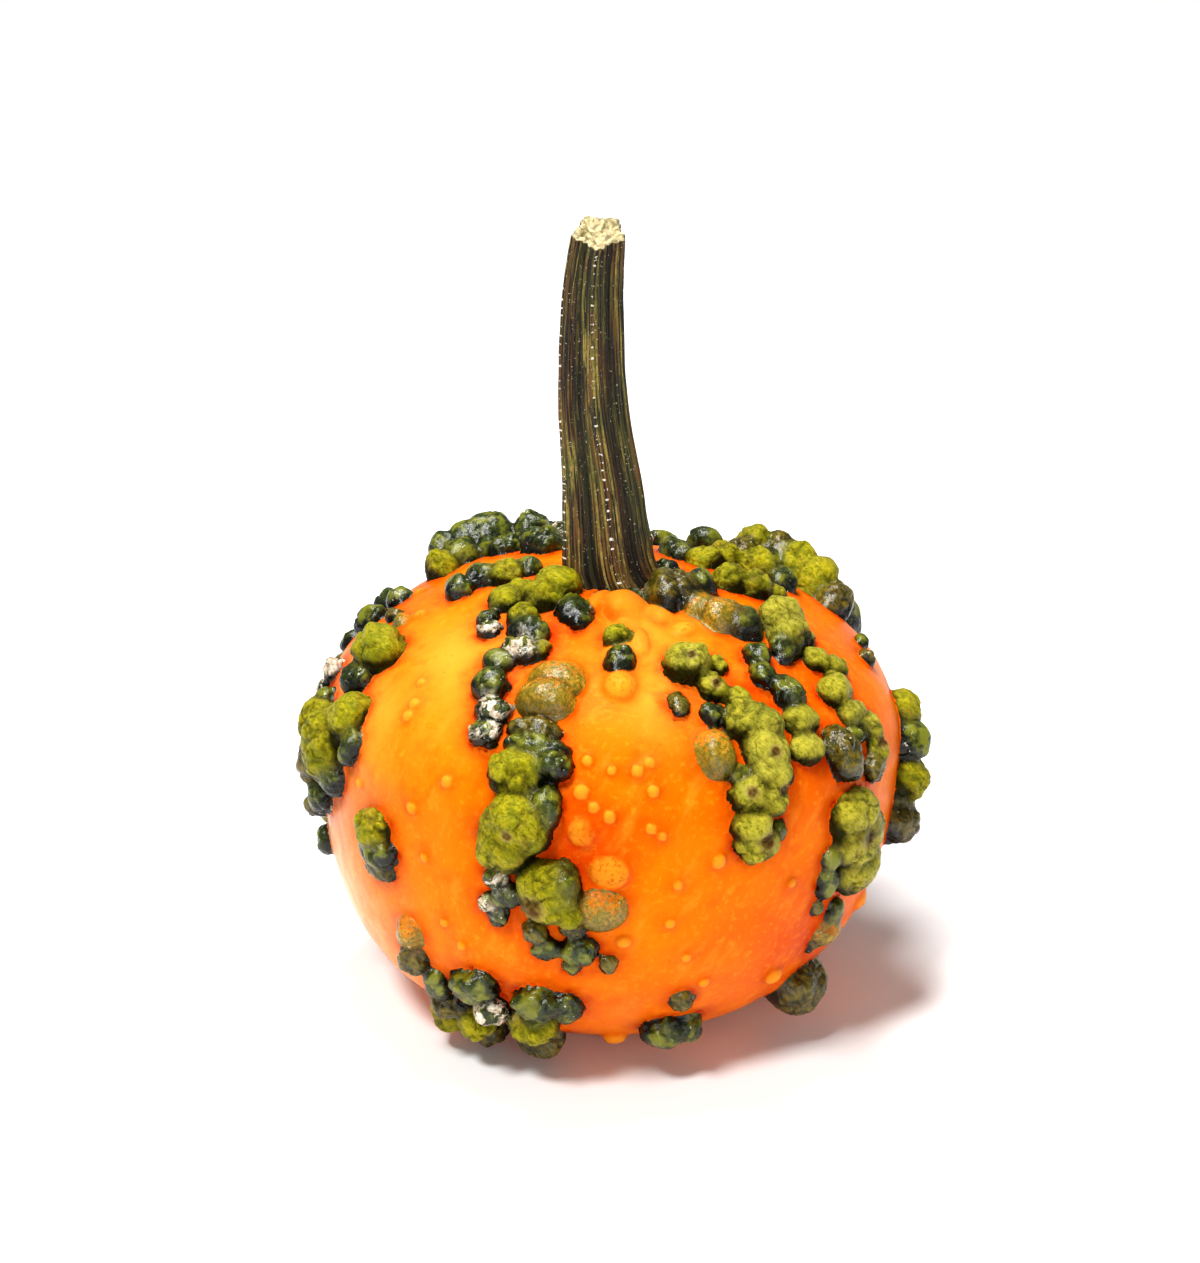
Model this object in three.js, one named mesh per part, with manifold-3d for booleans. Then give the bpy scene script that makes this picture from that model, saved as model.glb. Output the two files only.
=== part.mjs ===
// A warty winter squash: a round, slightly leaning orange fruit, high in the shoulder and resting on
// a small flat spot, covered in chains of green warts, with its long ridged stem still on.
// Millimetres, +Z up. The origin is the middle of the spot that the squash rests on.
// Places on the skin are given as [longitude, polar angle] in degrees: longitude 0 faces -Y and grows
// towards +X, polar angle 0 is the stem and 180 the blossom end.

import * as THREE from "three";
import { mergeVertices } from "three/addons/utils/BufferGeometryUtils.js";
import Module from "manifold-3d";

const wasm = await Module();
wasm.setup();

// The fruit's body
const HALF_WIDTH = 102;
const SHOULDER_HEIGHT = 54.5;
const BELLY_DEPTH = 106;
const SHOULDER_POWER = 1.93;
const BELLY_POWER = 2.65;
const MIDDLE_HEIGHT = 103;
const LEAN = 2.0;
const DIMPLE = { depth: 5, spread: 15 };
const CHEEK = { lon: -58, polar: 130, rise: 5, spread: 28 };

// Shallow grooves that run from the stem over the shoulder, where the chains of warts lie. They are
// deepest above the middle and fade below it to their least share.
const GROOVES = [-150, -108, -66, -19, 27, 56, 92, 128, 168];
const GROOVE = { depth: 1.6, halfWidth: 9, least: 0.3, below: 0.35 };
const BODY_RINGS = 16;
const BODY_SIDES = 34;

// The stem: heights, sideways and forward offsets of its middle line, and its mean radius there
const STEM_LINE = [
  { x: 0.8, y: 0, z: 146, radius: 18.5 },
  { x: 0.4, y: 0, z: 153, radius: 17.2 },
  { x: -2.2, y: 0, z: 163, radius: 14.6 },
  { x: -4.1, y: 1, z: 190, radius: 12.4 },
  { x: -7.0, y: 2, z: 219, radius: 10.7 },
  { x: -6.9, y: 2, z: 253, radius: 9.4 },
  { x: -4.9, y: 1, z: 276, radius: 8.2 },
];
const STEM_SIDES = 25;
const STEM_RINGS = 12;
const STEM_RIDGES = 5;
const STEM_RIDGE_SHARE = 0.13;
const STEM_TWIST = 2.0;
const CUT_TILT = 0.42;
const GAP = 0.3;

// How far a wart stands off the skin, as a share of its smaller width, and how much of its
// half-thickness lies above the skin
const RISE_SHARE = 0.56;
const LOW_RISE_SHARE = 0.3;
const ROOTED_SHARE = 0.16;
const LOW_DEPTH_SHARE = 0.42;

// A wart's bead has more faces the wider it is, and each is turned from the last, in radians
const BEAD_TURN = 2.4;
const BEAD_SIZES = [
  { from: 17, sides: 7, bands: 4 },
  { from: 12.5, sides: 6, bands: 3 },
  { from: 0, sides: 5, bands: 3 },
];

const TONES = {
  lime: "#9aa03a",
  dark: "#2f3420",
  olive: "#6c6228",
  cork: "#c9a883",
  russet: "#a8701f",
  ember: "#e2821f",
};
const SKIN_COLOUR = "#ef8a12";
const STEM_COLOUR = "#3f4426";

// The warts, chain by chain: longitude, polar angle, width along the parallel, height along the
// meridian, tone and, where it isn't the usual share, how far the wart stands off the skin
const SHOULDER_LEFT = [
  [-109, 72.5, 11, 10, "dark"], [-102, 67, 9, 9, "dark"], [-96, 72.5, 10, 14, "dark"],
  [-102, 81, 7, 10, "dark"], [-74, 70.5, 19.5, 17, "lime"], [-71.5, 77, 12, 11, "dark"],
  [-86, 81, 9, 9, "cork"], [-79, 84.5, 9, 9, "dark"],
];
const EDGE_LEFT = [
  [-64.5, 82.5, 14, 17, "lime"], [-77, 88.5, 16, 17, "lime", 9], [-70, 90.5, 17, 22, "lime", 9.5],
  [-60, 86.5, 9, 13, "dark"], [-78, 97, 16, 17, "olive", 9], [-66, 95, 12, 13, "dark"],
  [-73, 102, 13, 12, "dark"], [-83, 108, 10, 9, "olive", 7.5], [-80, 114, 9, 10, "dark"],
];
const CHEEK_LEFT = [
  [-49.5, 98.3, 13, 12.5, "lime"], [-48, 102.3, 15.5, 11, "dark"], [-48, 106, 13, 7, "olive"],
  [-41.5, 116.5, 9, 11, "russet"], [-42, 122, 11, 12, "olive"],
];
const STEM_FRONT = [
  [-51, 27, 15, 14.5, "lime"], [-47.5, 35, 13.5, 13, "lime"], [-63.5, 37, 11, 10.5, "lime"],
  [-61.5, 42.5, 13.5, 10.5, "lime"], [-43, 44.5, 11, 10, "lime"], [-35, 48.5, 15, 10, "dark"],
  [-32, 55, 13, 10, "cork"], [-27, 35, 9, 14, "dark"], [-20.5, 37.5, 8, 12.5, "dark"],
];
const CORKY_CHAIN = [
  [-35.5, 59.5, 10, 9, "dark"], [-33, 65, 12, 11.5, "dark"], [-29, 70, 12, 10, "cork"],
  [-28.5, 74.5, 10.5, 9.5, "cork"],
];
const FRONT_LEFT = [
  [-17, 60.5, 16, 15, "russet", 5], [-18, 65.5, 17, 13.5, "russet", 7], [-18, 72, 16.5, 8, "olive", 5],
  [-16.5, 75, 20.5, 7.5, "dark", 6.5], [-19.5, 80, 18, 14, "lime", 9],
  [-12.5, 78.5, 13.5, 12, "dark", 8], [-17.5, 88.5, 22, 19, "lime", 11],
  [-19.5, 92.5, 18, 17, "lime", 10.5], [-12.5, 85, 9, 14, "dark", 7], [-21.5, 99.5, 9, 8, "dark"],
  [-20, 103, 9, 9, "dark"], [-11.5, 100.5, 19, 20.5, "lime", 10], [-8.5, 98.5, 9, 14, "dark", 8],
  [-7.5, 104.5, 9, 8, "lime", 8], [-6, 88.5, 9, 9.5, "ember"], [-0.7, 96, 13.5, 12, "ember"],
  [-1.8, 103.8, 14, 13.5, "russet", 5], [-12, 113, 9, 8, "dark"], [-5.5, 112.5, 11, 10.5, "dark"],
];
const FOOT_FRONT = [
  [-38, 127, 9, 13, "dark"], [-28, 124.2, 17, 12, "dark", 7], [-25.5, 129.5, 12, 13, "cork", 8],
  [-39, 133, 12, 12, "olive"], [-31.5, 136, 14, 12, "lime", 9.5], [-43, 139, 14, 12, "lime", 9],
  [-34, 143, 14, 11, "olive", 8.5], [-14.3, 125.8, 17, 11.5, "dark", 8.5], [-8.3, 127, 10, 13, "dark"],
  [-16.5, 133, 17, 10.5, "lime", 9.5], [-17.5, 141.5, 16, 11, "olive", 9.5],
  [14, 135, 15, 12, "dark", 8.5], [20, 134.5, 10, 10, "dark", 7.5], [15.5, 142, 10, 8, "lime"],
];
const FRONT_MIDDLE = [
  [-0.6, 45, 9, 9, "lime"], [0.4, 53.5, 9.5, 11, "dark"], [0.5, 60, 10, 11.5, "ember", 3.5],
];
const FRONT_RIGHT = [
  [21, 55.7, 15.5, 15, "lime"], [26, 62.3, 9.5, 10.5, "lime"], [20.5, 75.5, 11, 15, "russet", 6],
  [29.5, 70.5, 13, 11, "lime", 8], [33, 72.5, 12, 13, "lime", 8.5], [31.5, 76.5, 13, 13, "lime", 8.5],
  [30.5, 80.5, 13, 12.5, "lime", 8], [25, 83.2, 12, 10.5, "lime", 8], [30, 85, 9.5, 10, "lime", 8],
  [25.5, 88.5, 13, 10.5, "lime", 8.5], [26.5, 92.5, 15, 11, "lime", 8.5],
];
const SIDE_RIGHT = [
  [45.5, 57.5, 10, 10, "dark"], [41.5, 62.5, 9, 10, "dark"], [44.5, 67.5, 11, 13, "dark"],
  [43.2, 73.2, 12.5, 10, "lime"], [41, 78, 12.5, 10, "lime"], [57, 60, 12, 8, "dark"],
  [63.5, 64.5, 9, 9, "lime"], [66.5, 67.7, 9, 9, "lime"], [59.5, 71.3, 14, 11, "lime"],
  [59.5, 76.3, 11.5, 9, "lime"], [62.5, 80, 9, 11, "lime"], [62, 84, 8.5, 11, "lime"],
  [59, 87, 9, 9.5, "olive"], [49.5, 81.3, 13, 18.5, "olive", 7.5], [50.5, 92.5, 20.5, 15, "lime", 8.5],
  [53, 98.5, 23.5, 17, "lime", 9.5], [54, 105, 20.5, 18, "lime", 8.5], [45, 105.5, 8, 11.5, "dark"],
  [49.5, 117.5, 10, 10, "russet"], [51, 132.5, 20, 19, "olive", 11.5],
];
const EDGE_RIGHT = [
  [88, 87, 15, 14, "lime"], [83, 91, 15, 13, "dark", 10], [81, 98, 16, 15, "lime", 10.5],
  [79, 106.5, 16, 14, "olive", 10.5],
];
const STEM_RIGHT = [
  [100, 18.5, 9.5, 9, "dark"], [43, 27, 18, 17.5, "olive", 9], [64, 30, 14, 13, "dark", 8],
  [47.5, 38.5, 12, 11, "russet", 6], [50, 43.7, 15, 14, "russet", 7.5],
  [54, 48.5, 13.5, 12.5, "dark", 7.5], [70, 53, 16, 14.5, "lime", 9], [65, 57, 15, 13, "lime", 8.5],
  [58.5, 58.5, 13, 9, "dark"], [89.5, 37.5, 13.5, 12, "lime", 8], [91, 45, 13, 13, "lime", 8],
  [93, 51, 9, 9, "lime"], [140, 32.5, 13, 10, "dark"], [145, 50, 13, 11, "dark", 9],
  [121, 35.5, 12.5, 12, "lime"], [124, 44, 13, 13, "lime", 8.5], [117, 51, 14, 13, "lime", 9],
  [109.5, 55.5, 12, 11, "dark"], [137, 61, 15, 13, "lime", 15], [130.5, 63.5, 15, 14, "olive", 16],
  [124, 65.5, 16, 15, "lime", 16], [117.5, 67.5, 16, 15, "lime", 14],
  [110.5, 69.5, 14, 13, "olive", 10], [136, 57, 12, 11, "olive", 9], [128, 60, 13, 12, "dark", 9],
];
const STEM_BEHIND = [
  [-86, 50.5, 12, 10.5, "dark"], [-91, 44.5, 12, 11.5, "dark"], [-89, 37.5, 12.5, 11, "lime"],
  [-93.5, 31.5, 10, 9, "dark"], [-118.5, 62, 12, 12, "lime", 8.5], [-126, 60, 13, 12, "dark", 9],
  [-134, 57, 12, 12, "dark"], [-134, 50.5, 12, 11, "olive"], [-143, 50.5, 12, 12, "dark"],
  [-137.5, 38.5, 15, 14.5, "dark"], [-128, 65, 14, 13, "olive", 13], [-139, 60, 20, 16, "olive", 15],
  [-133, 62.5, 14, 13, "dark", 14], [-150, 55, 15, 14, "dark", 13], [-158, 47, 12, 11, "cork", 8.5],
  [-166, 42, 11, 10, "cork", 8],
];

// The side that the front view hides carries chains of the same kind, drawn with a fixed seed
const HIDDEN_CHAINS = [
  { lon: 104, from: 96 }, { lon: 127, from: 78 }, { lon: 150, from: 66 }, { lon: 173, from: 54 },
  { lon: -164, from: 68 }, { lon: -141, from: 76 }, { lon: -119, from: 84 }, { lon: -99, from: 102 },
];
const HIDDEN_TONES = ["lime", "dark", "olive", "dark", "lime", "cork"];
const HIDDEN_START = 6;
const HIDDEN_FOOT = 134;
const HIDDEN_SIZES = { least: 12, most: 22 };
const HIDDEN_SWAY = 7;
const HIDDEN_SPACING = 0.95;
const HIDDEN_SEED = 4127;

const radians = THREE.MathUtils.degToRad;

// A repeatable draw from 0 to 1
function makeDraw(seed) {
  let state = seed;
  return () => {
    state = (state * 16807) % 2147483647;
    return state / 2147483647;
  };
}

function grooveDepth(lon, polar) {
  const upper = THREE.MathUtils.clamp(Math.cos(polar) + GROOVE.below, 0, 1);
  const share = Math.sin(polar) * THREE.MathUtils.lerp(GROOVE.least, 1, upper);
  let depth = 0;
  for (const middle of GROOVES) {
    const away = Math.abs(((THREE.MathUtils.radToDeg(lon) - middle + 540) % 360) - 180);
    depth += Math.exp(-((away / GROOVE.halfWidth) ** 2));
  }
  return GROOVE.depth * depth * share;
}

function cheekRise(lon, polar) {
  const toCheek =
    Math.cos(polar) * Math.cos(radians(CHEEK.polar)) +
    Math.sin(polar) * Math.sin(radians(CHEEK.polar)) * Math.cos(lon - radians(CHEEK.lon));
  return CHEEK.rise * Math.exp((toCheek - 1) / (1 - Math.cos(radians(CHEEK.spread))));
}

function skinRadius(lon, polar) {
  const above = Math.cos(polar) >= 0;
  const height = above ? SHOULDER_HEIGHT : BELLY_DEPTH;
  const power = above ? SHOULDER_POWER : BELLY_POWER;
  const round =
    ((Math.abs(Math.sin(polar)) / HALF_WIDTH) ** power + (Math.abs(Math.cos(polar)) / height) ** power) **
    (-1 / power);
  const dimple = DIMPLE.depth * Math.exp(-((polar / radians(DIMPLE.spread)) ** 2));
  return round - dimple + cheekRise(lon, polar) - grooveDepth(lon, polar);
}

// The point of the skin at a longitude and a polar angle, both in radians, with the fruit's lean
function skinPoint(lon, polar) {
  const r = skinRadius(lon, polar);
  const point = new THREE.Vector3(
    r * Math.sin(polar) * Math.sin(lon),
    -r * Math.sin(polar) * Math.cos(lon),
    r * Math.cos(polar),
  );
  point.applyAxisAngle(new THREE.Vector3(0, 1, 0), radians(LEAN));
  return point.add(new THREE.Vector3(0, 0, MIDDLE_HEIGHT));
}

// East, north and outward directions on the skin
function skinAxes(lon, polar) {
  const step = 0.01;
  const east = skinPoint(lon + step, polar).sub(skinPoint(lon - step, polar)).normalize();
  const up = skinPoint(lon, polar - step).sub(skinPoint(lon, polar + step)).normalize();
  const out = new THREE.Vector3().crossVectors(east, up).normalize();
  const north = new THREE.Vector3().crossVectors(out, east);
  return { east, north, out };
}

// A closed surface through rings of points, with a point at each end
function closedRings(first, rings, last) {
  const sides = rings[0].length;
  const points = [first, ...rings.flat(), last];
  const index = [];
  for (let k = 0; k < sides; k++) {
    const next = (k + 1) % sides;
    index.push(0, 1 + k, 1 + next);
    for (let ring = 0; ring + 1 < rings.length; ring++) {
      const here = 1 + ring * sides;
      const below = here + sides;
      index.push(here + k, below + k, below + next);
      index.push(here + k, below + next, here + next);
    }
    const lowest = 1 + (rings.length - 1) * sides;
    index.push(lowest + k, points.length - 1, lowest + next);
  }
  const geometry = new THREE.BufferGeometry().setFromPoints(points);
  geometry.setIndex(index);
  return geometry;
}

function solidOf(geometry) {
  const bare = new THREE.BufferGeometry().setAttribute("position", geometry.getAttribute("position"));
  bare.setIndex(geometry.index);
  const merged = mergeVertices(bare, 1e-4);
  return new wasm.Manifold(
    new wasm.Mesh({
      numProp: 3,
      vertProperties: merged.attributes.position.array,
      triVerts: new Uint32Array(merged.index.array),
    }),
  );
}

function geometryOf(solid) {
  const mesh = solid.getMesh();
  const geometry = new THREE.BufferGeometry();
  geometry.setAttribute("position", new THREE.BufferAttribute(new Float32Array(mesh.vertProperties), 3));
  geometry.setIndex(new THREE.BufferAttribute(new Uint32Array(mesh.triVerts), 1));
  geometry.computeVertexNormals();
  return geometry;
}

function bodySolid() {
  const rings = [];
  for (let i = 1; i < BODY_RINGS; i++) {
    const polar = (Math.PI * i) / BODY_RINGS;
    const ring = [];
    for (let k = 0; k < BODY_SIDES; k++) ring.push(skinPoint((2 * Math.PI * k) / BODY_SIDES, polar));
    rings.push(ring);
  }
  return solidOf(closedRings(skinPoint(0, 0), rings, skinPoint(0, Math.PI)));
}

// Chains down the hidden side: each wart follows the last at a share of their sizes
function hiddenWarts() {
  const draw = makeDraw(HIDDEN_SEED);
  const warts = [];
  for (const chain of HIDDEN_CHAINS) {
    let polar = chain.from + HIDDEN_START * draw();
    while (polar < HIDDEN_FOOT) {
      const wide = HIDDEN_SIZES.least + (HIDDEN_SIZES.most - HIDDEN_SIZES.least) * draw() ** 1.6;
      const tall = wide * (0.75 + 0.35 * draw());
      const lon = chain.lon + HIDDEN_SWAY * (2 * draw() - 1);
      const tone = HIDDEN_TONES[Math.floor(HIDDEN_TONES.length * draw())];
      warts.push([lon, polar, wide, tall, tone]);
      polar += THREE.MathUtils.radToDeg((tall * (HIDDEN_SPACING + 0.5 * draw() ** 3)) / HALF_WIDTH);
    }
  }
  return warts;
}

// One wart: a faceted bead, wider than it is high, pole outward and rooted in the skin
function wartSolid([lonDegrees, polarDegrees, wide, tall, tone, statedRise], number) {
  const lon = radians(lonDegrees);
  const polar = radians(polarDegrees);
  const { east, north, out } = skinAxes(lon, polar);
  const share = tone === "ember" ? LOW_RISE_SHARE : RISE_SHARE;
  const rise = statedRise ?? share * Math.min(wide, tall);
  const half = rise / (1 + ROOTED_SHARE);
  const depth = tone === "ember" ? Math.max(half, LOW_DEPTH_SHARE * Math.min(wide, tall)) : half * 1.02;
  const size = BEAD_SIZES.find((row) => Math.max(wide, tall) >= row.from);
  const bead = new THREE.SphereGeometry(1, size.sides, size.bands);
  bead.rotateX(Math.PI / 2);
  bead.rotateZ(BEAD_TURN * number);
  // A faceted bead is drawn larger, so that its outline has the area of the round one
  const section = Math.sqrt((size.sides / (2 * Math.PI)) * Math.sin((2 * Math.PI) / size.sides));
  const girth = Math.sin((Math.PI * Math.floor(size.bands / 2)) / size.bands);
  const fill = 1 / (section * girth);
  bead.scale((fill * wide) / 2, (fill * tall) / 2, depth);
  const centre = skinPoint(lon, polar).addScaledVector(out, rise - depth);
  const place = new THREE.Matrix4().makeBasis(east, north, out).setPosition(centre);
  bead.applyMatrix4(place);
  bead.deleteAttribute("normal");
  bead.deleteAttribute("uv");
  return { solid: solidOf(bead), centre, colour: new THREE.Color(TONES[tone]) };
}

// The stem's outline, swollen by extra millimetres all round: five main ridges that twist a little,
// a wide foot, and a cut at the top that leans towards the front
function stemSolid(extra) {
  const line = new THREE.CatmullRomCurve3(STEM_LINE.map((p) => new THREE.Vector3(p.x, p.y, p.z)));
  const radii = new THREE.CatmullRomCurve3(STEM_LINE.map((p, i) => new THREE.Vector3(i, p.radius, 0)));
  const rings = [];
  for (let i = 0; i < STEM_RINGS; i++) {
    const share = i / (STEM_RINGS - 1);
    const middle = line.getPoint(share);
    const radius = radii.getPoint(share).y;
    const ring = [];
    for (let k = 0; k < STEM_SIDES; k++) {
      const turn = (2 * Math.PI * k) / STEM_SIDES;
      const ridge = 1 + STEM_RIDGE_SHARE * Math.cos(STEM_RIDGES * turn + STEM_TWIST * share);
      const reach = radius * ridge + extra;
      const tilt = i === STEM_RINGS - 1 ? CUT_TILT * reach * Math.sin(turn) : 0;
      const sink = i === 0 ? -extra : 0;
      ring.push(
        new THREE.Vector3(
          middle.x + reach * Math.cos(turn),
          middle.y + reach * Math.sin(turn),
          middle.z + tilt + sink,
        ),
      );
    }
    rings.push(ring);
  }
  rings.reverse();
  const top = line.getPoint(1);
  const foot = line.getPoint(0);
  foot.z -= extra;
  return solidOf(closedRings(top, rings, foot));
}

// Everything below the surface that the squash rests on
function underground() {
  const block = new THREE.BoxGeometry(4 * HALF_WIDTH, 4 * HALF_WIDTH, HALF_WIDTH);
  block.translate(0, 0, -HALF_WIDTH / 2);
  block.deleteAttribute("normal");
  block.deleteAttribute("uv");
  return solidOf(block);
}

// Colours the joined fruit: skin orange on the skin, and each wart in its own tone
function paintFruit(geometry, warts) {
  const position = geometry.getAttribute("position");
  const colours = new Float32Array(position.count * 3);
  const skin = new THREE.Color(SKIN_COLOUR);
  const lean = new THREE.Vector3(0, 1, 0);
  const middle = new THREE.Vector3(0, 0, MIDDLE_HEIGHT);
  for (let i = 0; i < position.count; i++) {
    const point = new THREE.Vector3().fromBufferAttribute(position, i);
    const local = point.clone().sub(middle).applyAxisAngle(lean, -radians(LEAN));
    const polar = Math.acos(local.z / local.length());
    const height = local.length() - skinRadius(Math.atan2(local.x, -local.y), polar);
    let colour = skin;
    if (height > 1) {
      let nearest = Infinity;
      for (const wart of warts) {
        const away = wart.centre.distanceToSquared(point);
        if (away < nearest) {
          nearest = away;
          colour = wart.colour;
        }
      }
    }
    colour.toArray(colours, 3 * i);
  }
  geometry.setAttribute("color", new THREE.BufferAttribute(colours, 3));
}

// The outer skin of a solid: a hollow that joining has sealed inside it is filled
function filled(solid) {
  const shells = solid.decompose();
  return shells.reduce((largest, shell) => (shell.volume() > largest.volume() ? shell : largest));
}

function makeFruit() {
  const rows = [
    SHOULDER_LEFT, EDGE_LEFT, CHEEK_LEFT, STEM_FRONT, CORKY_CHAIN, FRONT_LEFT, FOOT_FRONT,
    FRONT_MIDDLE, FRONT_RIGHT, SIDE_RIGHT, EDGE_RIGHT, STEM_RIGHT, STEM_BEHIND, hiddenWarts(),
  ].flat();
  const warts = rows.map(wartSolid);
  const beads = warts.map((wart) => wart.solid).reduce((joined, bead) => joined.add(bead));
  const whole = filled(bodySolid().add(beads));
  const fruit = filled(whole.subtract(stemSolid(GAP)).subtract(underground()));
  const geometry = geometryOf(fruit);
  paintFruit(geometry, warts);
  const mesh = new THREE.Mesh(
    geometry,
    new THREE.MeshStandardMaterial({ vertexColors: true, roughness: 0.38, metalness: 0, flatShading: true }),
  );
  mesh.name = "fruit";
  return mesh;
}

function makeStem() {
  const mesh = new THREE.Mesh(
    geometryOf(stemSolid(0)),
    new THREE.MeshStandardMaterial({ color: STEM_COLOUR, roughness: 0.7, metalness: 0, flatShading: true }),
  );
  mesh.name = "stem";
  return mesh;
}

const squash = new THREE.Group();
squash.add(makeFruit(), makeStem());

export default squash;
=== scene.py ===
"""A warty winter squash: a round orange fruit covered in chains of green warts, with its long dry
stem still on, resting on a pale floor.

The fruit's skin and warts are one closed mesh. It is worked out as a signed field on a grid: the
round body, joined smoothly with every wart, is negative inside and positive outside, and the mesh
is drawn where the field is zero. Places on the skin are [longitude, polar angle] in degrees, with
longitude 0 facing -Y and growing towards +X, and polar angle 0 at the stem. The field and the lists
of warts are in millimetres, and every mesh is in metres.
"""

from math import cos, degrees, pi, radians, sin

import bpy
import numpy as np
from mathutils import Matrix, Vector, noise


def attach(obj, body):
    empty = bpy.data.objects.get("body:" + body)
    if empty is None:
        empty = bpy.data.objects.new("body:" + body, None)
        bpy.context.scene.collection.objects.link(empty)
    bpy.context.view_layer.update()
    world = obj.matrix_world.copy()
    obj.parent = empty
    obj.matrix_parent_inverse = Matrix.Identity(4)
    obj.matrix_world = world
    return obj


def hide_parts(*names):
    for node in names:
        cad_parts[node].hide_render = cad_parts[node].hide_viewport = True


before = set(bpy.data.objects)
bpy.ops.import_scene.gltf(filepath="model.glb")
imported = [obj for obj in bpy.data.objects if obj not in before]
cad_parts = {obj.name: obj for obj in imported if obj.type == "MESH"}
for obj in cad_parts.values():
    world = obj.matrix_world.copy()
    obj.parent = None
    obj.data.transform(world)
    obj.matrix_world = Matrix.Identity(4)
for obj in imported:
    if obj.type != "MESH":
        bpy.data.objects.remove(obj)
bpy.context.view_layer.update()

scene = bpy.context.scene
MM = 0.001

# The camera stands where the photograph was taken from: 900 mm away, 22 degrees above the level
CAMERA_DISTANCE = 0.9
CAMERA_ELEVATION = radians(22)
CAMERA_AIM = Vector((-0.0046, 0.0, 0.134))
PHOTO_HEIGHT = 1263
FOCAL_PIXELS = 2560
SENSOR = 36.0

# The fruit's body, in millimetres and degrees
HALF_WIDTH = 102.0
SHOULDER_HEIGHT = 54.5
BELLY_DEPTH = 106.0
SHOULDER_POWER = 1.93
BELLY_POWER = 2.65
MIDDLE_HEIGHT = 103.0
LEAN = radians(2.0)
DIMPLE_DEPTH = 5.0
DIMPLE_SPREAD = 15.0
CHEEK_LON = -58.0
CHEEK_POLAR = 130.0
CHEEK_RISE = 5.0
CHEEK_SPREAD = 28.0
GROOVES = (-150, -108, -66, -19, 27, 56, 92, 128, 168)
GROOVE_DEPTH = 1.6
GROOVE_HALF_WIDTH = 9.0
GROOVE_LEAST = 0.3
GROOVE_BELOW = 0.35

# Narrow furrows that leave the stem: longitude, depth, half width in degrees, and how far they
# reach from the polar angle at which they are deepest
FURROWS = (
    (-5, 4.2, 4.5, 26), (-20, 3.4, 5.0, 20), (12, 2.6, 4.0, 16), (26, 2.8, 6.0, 22),
    (-40, 1.5, 6.0, 18),
)
FURROWS_DEEPEST = 17

# The blossom scar in the middle of the resting spot, its rim, whose place and width are shares of
# the scar's radius, and how softly the skin bends into the spot
SCAR_RADIUS = 9.0
SCAR_DEPTH = 4.0
SCAR_RIM_HEIGHT = 0.8
SCAR_RIM_AT = 1.5
SCAR_RIM_WIDTH = 0.35
RESTING_EDGE = 2.5

# How far a wart stands off the skin, as a share of its smaller width, and how deep it is rooted
RISE_SHARE = 0.56
LOW_RISE_SHARE = 0.3
PIMPLE_RISE_SHARE = 0.42
ROOTED_SHARE = 0.16
DEPTH_SHARE = 1.02
LOW_DEPTH_SHARE = 0.42

# How much a wart swells past its listed size, how square it is, and how bumpy its surface is
SWELL = 1.1
SQUARENESS = 2.15
BUMPS = 0.06
SMOOTH_BUMPS = 0.03
WART_SEED = 911

# Neighbours are joined by a lower saddle: how many places down the list they may be, how far apart
# as a share of their sizes, and how thick the saddle is
JOIN_PLACES = 3
JOIN_WITHIN = 1.08
SADDLE_SHARE = 0.64

# How softly a wart of each kind runs into what it grows from, and lobes into one another, in mm.
# The low kinds are swellings of bare skin.
BLEND = {
    "lime": 1.0, "dark": 1.0, "olive": 1.4, "cork": 1.0, "russet": 3.6, "ember": 2.6, "pimple": 1.4,
    "pad": 1.0,
}
LOBE_BLEND = 1.9
LOW_KINDS = ("ember", "pimple", "pad")

# The warts, chain by chain: longitude, polar angle, width along the parallel, height along the
# meridian, kind and, where it isn't the usual share, how far the wart stands off the skin. Rows in
# square brackets are the lobes of one larger wart and run softly into one another.
SHOULDER_LEFT = (
    (-109, 72.5, 11, 10, "dark"), (-102, 67, 9, 9, "dark"), (-96, 72.5, 10, 14, "dark"),
    (-102, 81, 7, 10, "dark"), [(-74, 70.5, 19.5, 17, "lime"), (-71.5, 77, 12, 11, "dark")],
    (-86, 81, 9, 9, "cork"), (-87, 85.5, 8, 7.5, "cork"), (-79, 84.5, 9, 9, "dark"),
    (-102.5, 62.5, 6, 5, "ember"), (-82.5, 64.5, 6, 5, "russet"), (-80.5, 60.5, 5, 5, "ember"),
    (-88, 66, 6, 6, "olive"),
)
EDGE_LEFT = (
    [(-64.5, 82.5, 14, 17, "lime"), (-77, 88.5, 16, 17, "lime", 9), (-70, 90, 20, 25, "lime", 10.5),
     (-60, 86.5, 9, 13, "dark"), (-78, 97, 16, 17, "olive", 9), (-66, 95, 12, 13, "dark"),
     (-73, 102, 13, 12, "dark")],
    (-83, 108, 10, 9, "olive", 7.5), (-80, 114, 9, 10, "dark"),
)
CHEEK_LEFT = (
    [(-49.5, 98.3, 13, 12.5, "lime"), (-48, 102.3, 15.5, 11, "dark"), (-48, 106, 13, 7, "olive")],
    (-41.5, 116.5, 9, 11, "russet"), (-42, 122, 11, 12, "olive"),
)
STEM_FRONT = (
    [(-51, 27, 15, 14.5, "lime"), (-47.5, 35, 13.5, 13, "lime")],
    [(-63.5, 37, 11, 10.5, "lime"), (-61.5, 42.5, 13.5, 10.5, "lime")],
    (-55.5, 49.5, 7, 7, "dark"), (-49, 52, 8, 8, "cork"),
    [(-43, 44.5, 11, 10, "lime"), (-35, 48.5, 15, 10, "dark")],
    (-32, 55, 13, 10, "cork"), (-26.5, 53, 6.5, 8.5, "lime"),
    (-27, 35, 9, 14, "dark"), (-20.5, 37.5, 8, 12.5, "dark"),
)
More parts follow.
